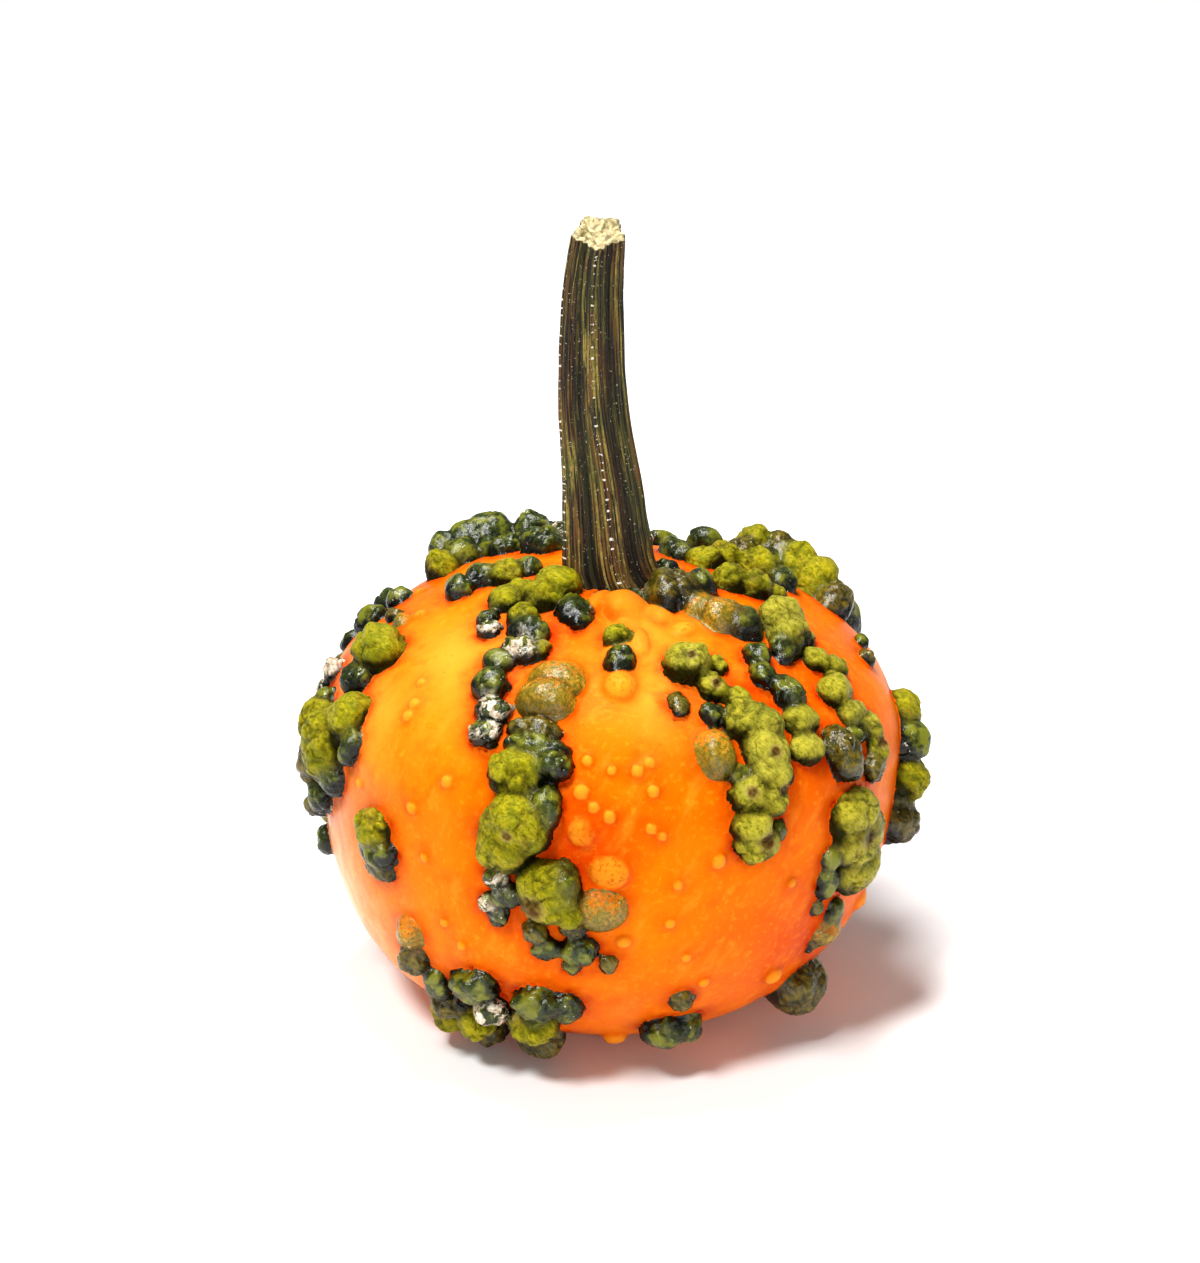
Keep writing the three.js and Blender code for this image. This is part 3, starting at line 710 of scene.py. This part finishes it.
def folds(points, around):
    """How near each point is to a fold between the small lobes of a wart, 0 to 1."""
    nearness = np.zeros(len(points))
    smooth = around.low + around.kinds["russet"] >= 0.5
    on_wart = (around.wart >= 0) & (around.nearest < 1.5)
    for i in np.nonzero(on_wart & ~smooth)[0].tolist():
        place = Vector(points[i]) / FOLD_APART
        place = place + FOLD_SWAY * noise.noise_vector(place * 2.0)
        first, second = noise.voronoi(place)[0][:2]
        strength = min(max(2.2 * noise.noise(place * 0.7) + 0.75, 0), 1)
        nearness[i] = strength * max(0, 1 - (second - first) / FOLD_SHARE)
    return nearness


def waves(place, size):
    """Soft waves of a height and spacing in millimetres."""
    height, spacing = size
    return height * noise.noise(place / spacing)


def relief(points, around):
    """How far each point of the fruit is moved outward, for wrinkles, folds, scars and scabs."""
    moved = -EYE_DEPTH * around.places(eye_places())
    smooth = (around.wart < 0) | (around.nearest > 0.6) | (around.low > 0.5)
    corky = around.kinds["cork"] > 0.5
    moved -= FOLD_DEPTH * folds(points, around) ** 1.5
    for i, point in enumerate(points.tolist()):
        place = Vector(point)
        if smooth[i]:
            moved[i] = waves(place, SKIN_WAVES) + waves(place, SKIN_GRAIN)
        elif corky[i]:
            height, spacing = CORK_CRUST
            moved[i] += height * noise.turbulence(place / spacing, 2, False) - CORK_SUNK
        else:
            moved[i] += waves(place, WART_WAVES) - abs(waves(place, WART_WRINKLES)) + WART_RAISED
    return moved


def eye_places():
    """The scars as places on the skin, with their size in degrees."""
    return [(lon, polar, degrees(half / HALF_WIDTH)) for lon, polar, half in EYES]


def new_object(name, data):
    """A new object that holds the data, linked to the scene."""
    thing = bpy.data.objects.new(name, data)
    scene.collection.objects.link(thing)
    return thing


def mesh_object(name, points, faces):
    """A new smooth-shaded object from points in millimetres."""
    mesh = bpy.data.meshes.new(name)
    mesh.from_pydata((points * MM).tolist(), [], faces.tolist() if hasattr(faces, "tolist") else faces)
    mesh.validate()
    mesh.shade_smooth()
    return new_object(name, mesh)


def mesh_points(mesh):
    """The mesh's points in millimetres."""
    flat = np.zeros(len(mesh.vertices) * 3)
    mesh.vertices.foreach_get("co", flat)
    return flat.reshape(-1, 3) / MM


def simplify(piece, triangles):
    """Takes away the triangles that the shape needs least."""
    count = sum(len(face.vertices) - 2 for face in piece.data.polygons)
    if count <= triangles:
        return
    modifier = piece.modifiers.new("fewer", "DECIMATE")
    modifier.ratio = triangles / count
    bpy.context.view_layer.objects.active = piece
    bpy.ops.object.modifier_apply(modifier=modifier.name)
    piece.data.shade_smooth()


def smooth_step(value, low, high):
    """0 up to low, 1 from high, and a smooth change between them."""
    share = np.clip((value - low) / (high - low), 0, 1)
    return share * share * (3 - 2 * share)


def write_colours(mesh, name, columns):
    """Stores up to four numbers at each point, for the material to read."""
    values = np.ones((len(mesh.vertices), 4), np.float32)
    for k, column in enumerate(columns):
        values[:, k] = column
    attribute = mesh.attributes.new(name, "FLOAT_COLOR", "POINT")
    attribute.data.foreach_set("color", values.ravel())


def paint_fruit(mesh, warts):
    """Writes where the warts are and of what kind, the painted shade in creases, folds and round the
    warts, and the patches of tint and painted light.
    """
    points = mesh_points(mesh)
    around = Around(points, warts)
    green = (around.wart >= 0) * (1 - around.low)
    on = np.maximum(smooth_step(-around.nearest, -1.4, -0.4), smooth_step(around.height, 1.6, 2.6))
    wart = green * smooth_step(around.height, 0.1, 1.1) * on
    # Painted shade: how dark the creases between warts and lobes, and the folds, are painted
    crease_shade = np.exp(-np.maximum(around.second - around.nearest, 0) / CREASE_SHADE_FADE)
    crease_shade = crease_shade * green * (around.nearest < 1)
    crease_shade = np.maximum(crease_shade, 0.8 * folds(points, around) ** 1.5)
    # Painted shade: the skin close round the warts and low swellings is painted deep red
    near = (green + 0.5 * around.low) * np.exp(-np.maximum(around.nearest, 0) / RED_SHADE_FADE) * (1 - wart)
    top = around.low * smooth_step(-around.nearest, -0.9, 0.1) * smooth_step(around.crest, 0.0, 0.6)
    top = top * (1 - 0.4 * around.kinds["pad"])
    crest = np.clip(around.crest * 0.5 + 0.5, 0, 1)
    down = np.clip(around.down * 0.5 + 0.5, 0, 1)
    eye = around.places(eye_places()) * green
    kinds = around.kinds
    write_colours(mesh, "form", (wart, crest, crease_shade, near))
    write_colours(mesh, "kind", (kinds["lime"], kinds["cork"], kinds["russet"], kinds["olive"]))
    write_colours(mesh, "spots", (top, down, eye, kinds["ember"]))
    # The pale, ruddy and golden patches carry painted reflection, shade and highlight; the last says where
    # limes are bright
    tint_and_light_places = (PALE_REFLECTION_PLACES, RUDDY_AND_SHADE_PLACES, GOLDEN_AND_HIGHLIGHT_PLACES, BRIGHT_PLACES)
    write_colours(mesh, "tint_and_light", [around.places(places) for places in tint_and_light_places])


def make_fruit():
    """The fruit with all its warts, as one closed piece."""
    warts = make_warts()
    grid = Grid()
    fill_body(grid)
    for wart in warts:
        add_wart(grid, wart)
    points, faces = surface_net(grid)
    points = settle(grid, points)
    outward = grid.slope(points)
    points = points + relief(points, Around(points, warts))[:, None] * outward
    points[:, 2] = np.maximum(points[:, 2], 0)
    fruit = mesh_object("squash_fruit", points, faces)
    simplify(fruit, FRUIT_TRIANGLES)
    paint_fruit(fruit.data, warts)
    fruit.data.materials.append(rind_material())
    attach(fruit, "root")
    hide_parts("fruit")
    return fruit


class Nodes:
    """The node tree of one new material, with short calls that add to it."""

    def __init__(self, name):
        self.material = bpy.data.materials.new(name)
        self.material.use_nodes = True
        self.tree = self.material.node_tree
        self.shader = self.tree.nodes["Principled BSDF"]

    def add(self, kind, inputs=None, **settings):
        """A new node of a kind, with values or links for its inputs."""
        node = self.tree.nodes.new("ShaderNode" + kind)
        for name, value in settings.items():
            setattr(node, name, value)
        for name, value in (inputs or {}).items():
            self.put(value, node.inputs[name])
        return node

    def put(self, value, socket):
        """Links another node's output, or sets a number or a colour, which may be a code."""
        if isinstance(value, bpy.types.NodeSocket):
            self.tree.links.new(value, socket)
        else:
            socket.default_value = colour(value) if isinstance(value, str) else value

    def give(self, name, value):
        """Sets one of the shader's own inputs."""
        self.put(value, self.shader.inputs[name])

    def maths(self, operation, a, b=0.0, c=0.0):
        return self.add("Math", {0: a, 1: b, 2: c}, operation=operation).outputs[0]

    def times(self, a, b):
        return self.maths("MULTIPLY", a, b)

    def ramp(self, value, low, high, start=0.0, end=1.0):
        """A smooth change from start to end as value goes from low to high."""
        inputs = {"Value": value, "From Min": low, "From Max": high, "To Min": start, "To Max": end}
        return self.add("MapRange", inputs, interpolation_type="SMOOTHSTEP").outputs["Result"]

    def mix(self, share, a, b):
        """Colour b over colour a, by the given share."""
        node = self.add("Mix", data_type="RGBA")
        for socket, value in zip((0, 6, 7), (share, a, b)):
            self.put(value, node.inputs[socket])
        return node.outputs[2]

    def place(self, stretch=(1, 1, 1), turn=(0, 0, 0), here=None):
        """The place on the piece, or one that is stored there, turned and stretched along each axis."""
        here = here or self.add("TexCoord").outputs["Object"]
        turned = self.add("Mapping", {"Vector": here, "Rotation": turn}).outputs["Vector"]
        return self.add("Mapping", {"Vector": turned, "Scale": stretch}).outputs["Vector"]

    def noise(self, size, detail=3.0, rough=0.55, place=None, distort=0.0):
        """Cloudy noise whose patches are about size metres across."""
        inputs = {
            "Vector": place or self.place(), "Scale": 1 / size, "Detail": detail, "Roughness": rough,
            "Distortion": distort,
        }
        return self.add("TexNoise", inputs).outputs["Fac"]

    def attribute(self, name):
        return self.add("Attribute", attribute_name=name, attribute_type="GEOMETRY")

    def stored(self, name):
        """The four numbers that are stored at each point under a name."""
        node = self.attribute(name)
        parts = self.add("SeparateColor", {"Color": node.outputs["Color"]})
        return [*parts.outputs, node.outputs["Alpha"]]

    def bump(self, height, distance):
        inputs = {"Height": height, "Distance": distance, "Strength": 1.0}
        return self.add("Bump", inputs).outputs["Normal"]


def colour(code):
    """A linear colour from a hexadecimal code."""
    parts = [int(code[k : k + 2], 16) / 255 for k in (0, 2, 4)]
    return (*[p / 12.92 if p <= 0.04045 else ((p + 0.055) / 1.055) ** 2.4 for p in parts], 1.0)


def skin_colour(n, near, top, ember):
    """Orange skin: yellower and redder clouds, golden patches that are partly painted highlight, ruddy
    patches that are partly painted shade, a pale painted reflection low on the left, red painted shade
    round the warts, and yellow-topped pimples.
    """
    pale_reflection, ruddy_and_shade, golden_and_highlight = n.stored("tint_and_light")[:3]
    clouds = n.noise(0.02, 3)
    base = n.mix(n.ramp(n.noise(0.045, 2), 0.35, 0.65), "e46800", "ec7800")
    # Golden patches: yellower shoulders, partly painted highlight
    base = n.mix(n.times(golden_and_highlight, n.ramp(clouds, 0.2, 0.7, 0.25, 0.65)), base, "f4aa3c")
    # Ruddy patches: painted shade low on the right, redder skin elsewhere
    base = n.mix(n.times(ruddy_and_shade, n.ramp(clouds, 0.2, 0.7, 0.4, 1.0)), base, "cc4200")
    base = n.mix(n.ramp(n.noise(0.0022, 2), 0.5, 0.8, 0, 0.45), base, "f29c20")
    base = n.mix(n.ramp(n.noise(0.012, 3), 0.52, 0.75, 0, 0.5), base, "d85800")
    streaks = n.noise(0.006, 3, 0.6, n.place((1, 1, 0.25), (0.3, -0.5, 0)))
    base = n.mix(n.times(n.ramp(streaks, 0.5, 0.72), 0.35), base, "f4962a")
    # Pale patch: a painted reflection of the floor, low on the left
    base = n.mix(n.times(pale_reflection, n.ramp(streaks, 0.3, 0.6, 0.45, 0.85)), base, "f2d0a8")
    base = n.mix(n.ramp(n.noise(0.0013, 1), 0.69, 0.76, 0, 0.35), base, "9c4a04")
    # Painted shade: deep red on the skin close round the warts
    red_shade_depth = n.ramp(n.noise(0.008, 3), 0.3, 0.7, 0.55, 1)
    base = n.mix(n.times(near, red_shade_depth), base, "a81c00")
    flecks = n.times(ember, n.ramp(n.noise(0.0016, 3, 0.7), 0.5, 0.66, 0, 0.75))
    topped = n.mix(flecks, n.mix(ember, "f0a430", "eda02c"), "8a5c10")
    return n.mix(n.ramp(top, 0.1, 1.0, 0, 0.55), base, topped)


def lime_colour(n, fine, broad, wrinkle):
    """Olive-lime with fine darker wrinkles, greener and browner clouds and pale flecks."""
    bright = n.stored("tint_and_light")[3]
    leaf = n.mix(n.ramp(wrinkle, 0.3, 0.64), "66660a", "9c9216")
    leaf = n.mix(n.ramp(n.noise(0.0009, 2, 0.6), 0.5, 0.72, 0, 0.45), leaf, "c4b84a")
    leaf = n.mix(n.ramp(fine, 0.6, 0.78, 0, 0.3), leaf, "565a0c")
    leaf = n.mix(n.ramp(broad, 0.48, 0.68, 0, 0.7), leaf, "666c14")
    leaf = n.mix(n.times(bright, n.ramp(wrinkle, 0.3, 0.58, 0.1, 0.5)), leaf, "b8ae54")
    return n.mix(n.ramp(n.noise(0.011, 3, 0.6), 0.56, 0.7, 0, 0.5), leaf, "8a7030")


def wart_colour(n, fine, wrinkle):
    """Painted shade that turns the undersides near black; lime, dark green with a painted sheen, or brown
    on the lit tops; white scabs, brown scars, and painted shade in the creases.
    """
    _, crest, crease_shade, _ = n.stored("form")
    lime, cork, russet, olive = n.stored("kind")
    _, down, eye, _ = n.stored("spots")
    broad = n.noise(0.007, 3, 0.6)
    # Painted light and shade: lit is high on the warts' tops and upper sides and low on their undersides;
    # the colours chosen by it below are painted light and shade
    lit = n.maths("MULTIPLY_ADD", down, -0.55, crest)
    lit = n.maths("ADD", lit, n.maths("MULTIPLY_ADD", broad, 0.5, -0.25))

    # Painted shade: the near-black undersides
    underside_shade = n.mix(n.ramp(fine, 0.35, 0.7), "040702", "0e1405")
    # Painted sheen: a pale reflection on the lit tops of the dark warts, with yellow-green painted
    # highlights in patches
    painted_sheen = n.mix(n.ramp(fine, 0.3, 0.7), "1c240a", "424c1a")
    painted_sheen = n.mix(n.ramp(broad, 0.46, 0.6, 0, 0.8), painted_sheen, "7c7e20")
    brown = n.mix(n.ramp(wrinkle, 0.35, 0.65), "37300c", "746218")
    ochre = n.mix(n.ramp(n.noise(0.0013, 3, 0.7), 0.38, 0.64), "6c5c10", "bc8e26")
    ochre = n.mix(n.ramp(broad, 0.36, 0.62, 0, 0.6), ochre, "62601a")
    # Painted shade: the russet is darker on its lower side
    ochre = n.mix(n.ramp(down, 0.45, 0.95, 0, 0.6), ochre, "4a420e")
    scab = n.mix(n.ramp(fine, 0.35, 0.65), "a58c6c", "ece2cf")

    tone = n.mix(n.ramp(lit, 0.34, 0.66), underside_shade, painted_sheen)
    # Brown olive tops, lime and white scabs show only on the lit side; below them the painted shade shows
    tone = n.mix(n.times(olive, n.ramp(lit, 0.2, 0.5, 0, 0.85)), tone, brown)
    lime_on_lit_side = n.times(lime, n.ramp(lit, 0.24, 0.54))
    tone = n.mix(lime_on_lit_side, tone, lime_colour(n, fine, broad, wrinkle))
    tone = n.mix(n.times(russet, n.ramp(fine, 0.2, 0.5, 0.8, 1)), tone, ochre)
    flaky = n.ramp(n.noise(0.006, 4, 0.7, distort=0.6), 0.48, 0.54)
    tone = n.mix(n.times(cork, n.times(flaky, n.ramp(lit, 0.2, 0.5))), tone, scab)
    specks = n.ramp(n.noise(0.0022, 2, 0.5), 0.72, 0.75, 0, 0.8)
    tone = n.mix(n.times(specks, n.ramp(lime, 0, 1, 1, 0.1)), tone, "d8d2b8")
    tone = n.mix(n.ramp(eye, 0.15, 0.5, 0, 0.55), tone, "9a8450")
    tone = n.mix(n.times(n.ramp(eye, 0.4, 0.8), n.ramp(fine, 0.3, 0.6, 0.6, 1)), tone, "4e3018")
    # Painted shade: creases and folds are painted near black
    return n.mix(n.times(crease_shade, 0.9), tone, "030502")


def rind_material():
    """Waxy orange skin and green, brown and corky warts."""
    n = Nodes("rind")
    wart, _, _, near = n.stored("form")
    lime, _, russet, _ = n.stored("kind")
    top, down, _, ember = n.stored("spots")
    fine = n.noise(0.0016, 3, 0.65)
    wrinkle = n.noise(0.0014, 3, 0.6, n.place((1, 1, 0.5), (0, 0.7, 0)), 0.2)
    edge = n.ramp(n.maths("ADD", wart, n.maths("MULTIPLY_ADD", fine, 0.3, -0.15)), 0.2, 0.5)
    speckle = n.ramp(n.maths("ADD", down, n.maths("MULTIPLY_ADD", fine, 1.6, -0.8)), 0.05, 0.4, 0.5, 0)
    edge = n.times(edge, n.maths("SUBTRACT", 1.0, n.times(russet, speckle)))
    tone = n.mix(edge, skin_colour(n, near, top, ember), wart_colour(n, fine, wrinkle))
    n.give("Base Color", tone)
    shine = n.mix(lime, "ffffff", "d8cc50")
    n.give("Specular Tint", n.mix(edge, "ffb040", shine))
    green = n.mix(lime, n.ramp(fine, 0.3, 0.7, 0.17, 0.28), n.ramp(fine, 0.3, 0.7, 0.38, 0.5))
    n.give("Roughness", n.mix(edge, n.ramp(fine, 0.3, 0.7, 0.36, 0.46), green))
    n.give("Specular IOR Level", n.ramp(edge, 0, 1, 0.2, 0.42))
    rough = n.mix(lime, n.times(fine, 0.4), wrinkle)
    rough = n.times(rough, n.ramp(edge, 0, 1, 0.08, 1.0))
    n.give("Normal", n.bump(rough, 0.001))
    return n.material


def stem_dots(n, grain, ridge):
    """A row of small pale dots along each ridge of the stem."""
    height = n.add("SeparateXYZ", {"Vector": grain}).outputs["Z"]
    jitter = n.times(n.noise(0.01, 1, place=grain), 2.0)
    steps = n.maths("MULTIPLY_ADD", height, 1 / DOTS_APART, jitter)
    along = n.maths("SUBTRACT", n.maths("FRACT", steps), 0.5)
    aside = n.ramp(n.noise(0.003, 1, place=grain), 0.3, 0.7, 0.0, DOT_STRAY)
    across = n.maths("ABSOLUTE", n.maths("SUBTRACT", n.maths("SUBTRACT", 1.0, ridge), aside))
    apart = n.maths("MULTIPLY_ADD", along, along, n.times(across, DOT_NARROWNESS))
    size = n.ramp(n.noise(0.002, 1, place=grain), 0.4, 0.6, 0.3, 1.2)
    return n.ramp(n.maths("DIVIDE", apart, size), DOT_SIZE, 2 * DOT_SIZE, 1, 0)


def stem_material():
    """Dry, dark olive stem with lighter stripes, painted shade in its grooves, and pale straw where it was
    cut.
    """
    n = Nodes("stem")
    cut, ridge = n.stored("form")[:2]
    grain = n.attribute("grain").outputs["Vector"]
    fibre = n.noise(0.0006, 3, 0.65, n.place((1, 1, 0.014), here=grain))
    stripe = n.noise(0.0011, 3, 0.65, n.place((1, 1, 0.02), here=grain))
    fine = n.noise(0.0012, 3, 0.6)
    broken = n.ramp(n.noise(0.002, 3, 0.7, n.place((1, 1, 0.2), here=grain)), 0.34, 0.56)
    clouds = n.ramp(n.noise(0.006, 3, 0.6, n.place((1, 1, 0.25), here=grain)), 0.42, 0.6)
    brown = n.mix(clouds, "4c4a16", "6a4618")
    bark = n.mix(n.ramp(fibre, 0.44, 0.58), "080803", brown)
    bright = n.times(n.ramp(stripe, 0.52, 0.6, 0, 0.85), broken)
    bark = n.mix(bright, bark, n.mix(n.ramp(fine, 0.4, 0.6), "7c7628", "a8924a"))
    # Painted shade: the grooves between the ridges are painted near black
    bark = n.mix(n.ramp(ridge, 0.05, 0.4, 0.7, 0), bark, "080803")
    bark = n.mix(n.ramp(n.noise(0.0008, 1), 0.7, 0.74, 0, 0.7), bark, "cfc8a4")
    dots = n.times(stem_dots(n, grain, ridge), n.ramp(n.noise(0.007, 2), 0.36, 0.46))
    straw = n.mix(n.ramp(n.noise(0.0018, 3, 0.6), 0.36, 0.62), "6e6238", "c0b084")
    bark = n.mix(dots, bark, "e8e6da")
    n.give("Base Color", n.mix(n.ramp(cut, 0.35, 0.65), bark, straw))
    n.give("Roughness", n.ramp(fine, 0.3, 0.7, 0.5, 0.75))
    n.give("Normal", n.bump(n.maths("ADD", fibre, stripe), 0.0009))
    return n.material


def curve_through(points, share):
    """A point of the smooth curve through the given points, evenly spaced in the curve's own steps."""
    spans = len(points) - 1
    where = min(share * spans, spans - 1e-9)
    k = int(where)
    t = where - k
    rows = [np.array(points[min(max(k + step, 0), spans)], float) for step in (-1, 0, 1, 2)]
    if k == 0:
        rows[0] = 2 * rows[1] - rows[2]
    if k == spans - 1:
        rows[3] = 2 * rows[2] - rows[1]
    a, b, c, d = rows
    bent = (2 * a - 5 * b + 4 * c - d) * t**2 + (3 * b - a - 3 * c + d) * t**3
    return 0.5 * (2 * b + (c - a) * t + bent)


def ring_point(x, y, z, reach, turn):
    """A point at a height z and at a reach from the middle of its ring."""
    return x + reach * cos(turn), y + reach * sin(turn), z


def stem_reach(share, turn, radius):
    """How far the stem's side stands from its middle line: main ridges, ribs and fine fibres."""
    twist = STEM_TWIST * share
    main = STEM_RIDGE_SHARE * cos(STEM_RIDGES * turn + twist)
    ribs = STEM_RIB_SHARE * cos(4 * STEM_RIDGES * turn + 4 * twist + 1.0)
    fibres = STEM_FIBRE_SHARE * noise.noise(Vector(ring_point(0, 0, 9 * share, 18, turn)))
    knobs = STEM_KNOB_SHARE * noise.noise(Vector(ring_point(0, 0, 22 * share, 4, turn)))
    return radius * (1 + main + ribs + fibres + knobs)


def stem_side():
    """The side ring by ring: each point, how near it is to the cut and a ridge, and its grain."""
    rows = []
    for ring in range(STEM_RINGS):
        share = ring / (STEM_RINGS - 1)
        x, y, z, radius = curve_through(STEM_LINE, share)
        tilt = CUT_TILT * smooth_step(share, CUT_START, 1.0)
        for side in range(STEM_SIDES):
            turn = 2 * pi * side / STEM_SIDES
            reach = stem_reach(share, turn, radius)
            ridge = 0.5 + 0.5 * cos(STEM_RIDGES * turn + STEM_TWIST * share)
            point = ring_point(x, y, z + tilt * reach * sin(turn), reach, turn)
            own = turn + STEM_TWIST * share / STEM_RIDGES
            rows.append((point, (0.0, ridge), ring_point(0.0, 0.0, z, GRAIN_RADIUS, own)))
    return rows


def stem_cut():
    """The cut in smaller and smaller rings: a low rim, a sunk inside and a rough surface."""
    x, y, z, radius = curve_through(STEM_LINE, 1.0)
    rows = []
    for ring in range(1, CUT_RINGS):
        inward = 1 - ring / CUT_RINGS
        for side in range(STEM_SIDES):
            turn = 2 * pi * side / STEM_SIDES
            reach = stem_reach(1.0, turn, radius) * inward
            rough = CUT_ROUGHNESS * noise.noise(Vector(ring_point(0, 0, 3, reach, turn)) / 1.6)
            sunk = -CUT_SUNK * smooth_step(1 - inward, 0.12, 0.75)
            sunk = sunk + CUT_RIM * sin(pi * min(1, 2.5 * (1 - inward)))
            height = z + CUT_TILT * reach * sin(turn) + sunk + rough * min(1, 6 * (1 - inward))
            rows.append((ring_point(x, y, height, reach, turn), (1.0, 1.0), (0.0, 0.0, 0.0)))
    rows.append(((x, y, z - CUT_MIDDLE_SUNK), (1.0, 1.0), (0.0, 0.0, 0.0)))
    return rows


def stem_faces():
    """Faces between the rings, and round the points that close the top and the foot."""
    faces = []
    rings = STEM_RINGS + CUT_RINGS - 1
    for ring in range(rings - 1):
        for side in range(STEM_SIDES):
            here, after = ring * STEM_SIDES + side, ring * STEM_SIDES + (side + 1) % STEM_SIDES
            faces.append((here, after, after + STEM_SIDES, here + STEM_SIDES))
    last = (rings - 1) * STEM_SIDES
    top = rings * STEM_SIDES
    for side in range(STEM_SIDES):
        after = (side + 1) % STEM_SIDES
        faces.append((last + side, last + after, top))
        faces.append((after, side, top + 1))
    return faces


def make_stem():
    """The stem: ridged and fibrous, flaring at its foot, with a rough cut at the top."""
    foot = (STEM_LINE[0][:3], (0.0, 0.0), (0.0, 0.0, 0.0))
    points, forms, grains = zip(*stem_side(), *stem_cut(), foot)
    stem = mesh_object("squash_stem", np.array(points), stem_faces())
    write_colours(stem.data, "form", np.array(forms).T)
    write_colours(stem.data, "grain", np.array(grains).T * MM)
    stem.data.materials.append(stem_material())
    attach(stem, "root")
    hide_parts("stem")
    return stem


def make_floor():
    mesh = bpy.data.meshes.new("floor")
    corners = ((-1, -1), (1, -1), (1, 1), (-1, 1))
    mesh.from_pydata([(FLOOR_HALF * x, FLOOR_HALF * y, 0) for x, y in corners], [], [(0, 1, 2, 3)])
    floor = new_object("floor", mesh)
    n = Nodes("pale_floor")
    n.give("Base Color", FLOOR_COLOUR)
    n.give("Roughness", FLOOR_ROUGHNESS)
    mesh.materials.append(n.material)


def make_camera():
    data = bpy.data.cameras.new("camera")
    data.sensor_width = SENSOR
    data.lens = FOCAL_PIXELS / PHOTO_HEIGHT * SENSOR
    camera = new_object("camera", data)
    back = Vector((0, -cos(CAMERA_ELEVATION), sin(CAMERA_ELEVATION)))
    camera.location = CAMERA_AIM + back * CAMERA_DISTANCE
    camera.rotation_euler = (-back).to_track_quat("-Z", "Y").to_euler()
    scene.camera = camera


def new_light(name, kind, energy, place, aim):
    """A light that shines from its place towards its aim."""
    data = bpy.data.lights.new(name, kind)
    data.energy = energy
    light = new_object(name, data)
    light.location = place
    light.rotation_euler = (Vector(aim) - Vector(place)).to_track_quat("-Z", "Y").to_euler()
    return data


def make_lights():
    sun = new_light("sun", "SUN", SUN_STRENGTH, SUN_PLACE, (0, 0, 0))
    sun.angle = radians(SUN_SPREAD)
    for name, place, width, power in LAMPS:
        lamp = new_light(name, "AREA", power, place, LAMP_AIM)
        lamp.shape = "DISK"
        lamp.size = width


def make_surroundings():
    """The pale light from all sides, and the view's contrast."""
    world = bpy.data.worlds.new("studio")
    world.use_nodes = True
    background = world.node_tree.nodes["Background"]
    background.inputs["Color"].default_value = SKY_COLOUR
    background.inputs["Strength"].default_value = SKY_STRENGTH
    scene.world = world
    scene.view_settings.view_transform = "Standard"
    scene.view_settings.look = "Medium High Contrast"


make_camera()
make_lights()
make_surroundings()
make_floor()
make_fruit()
make_stem()
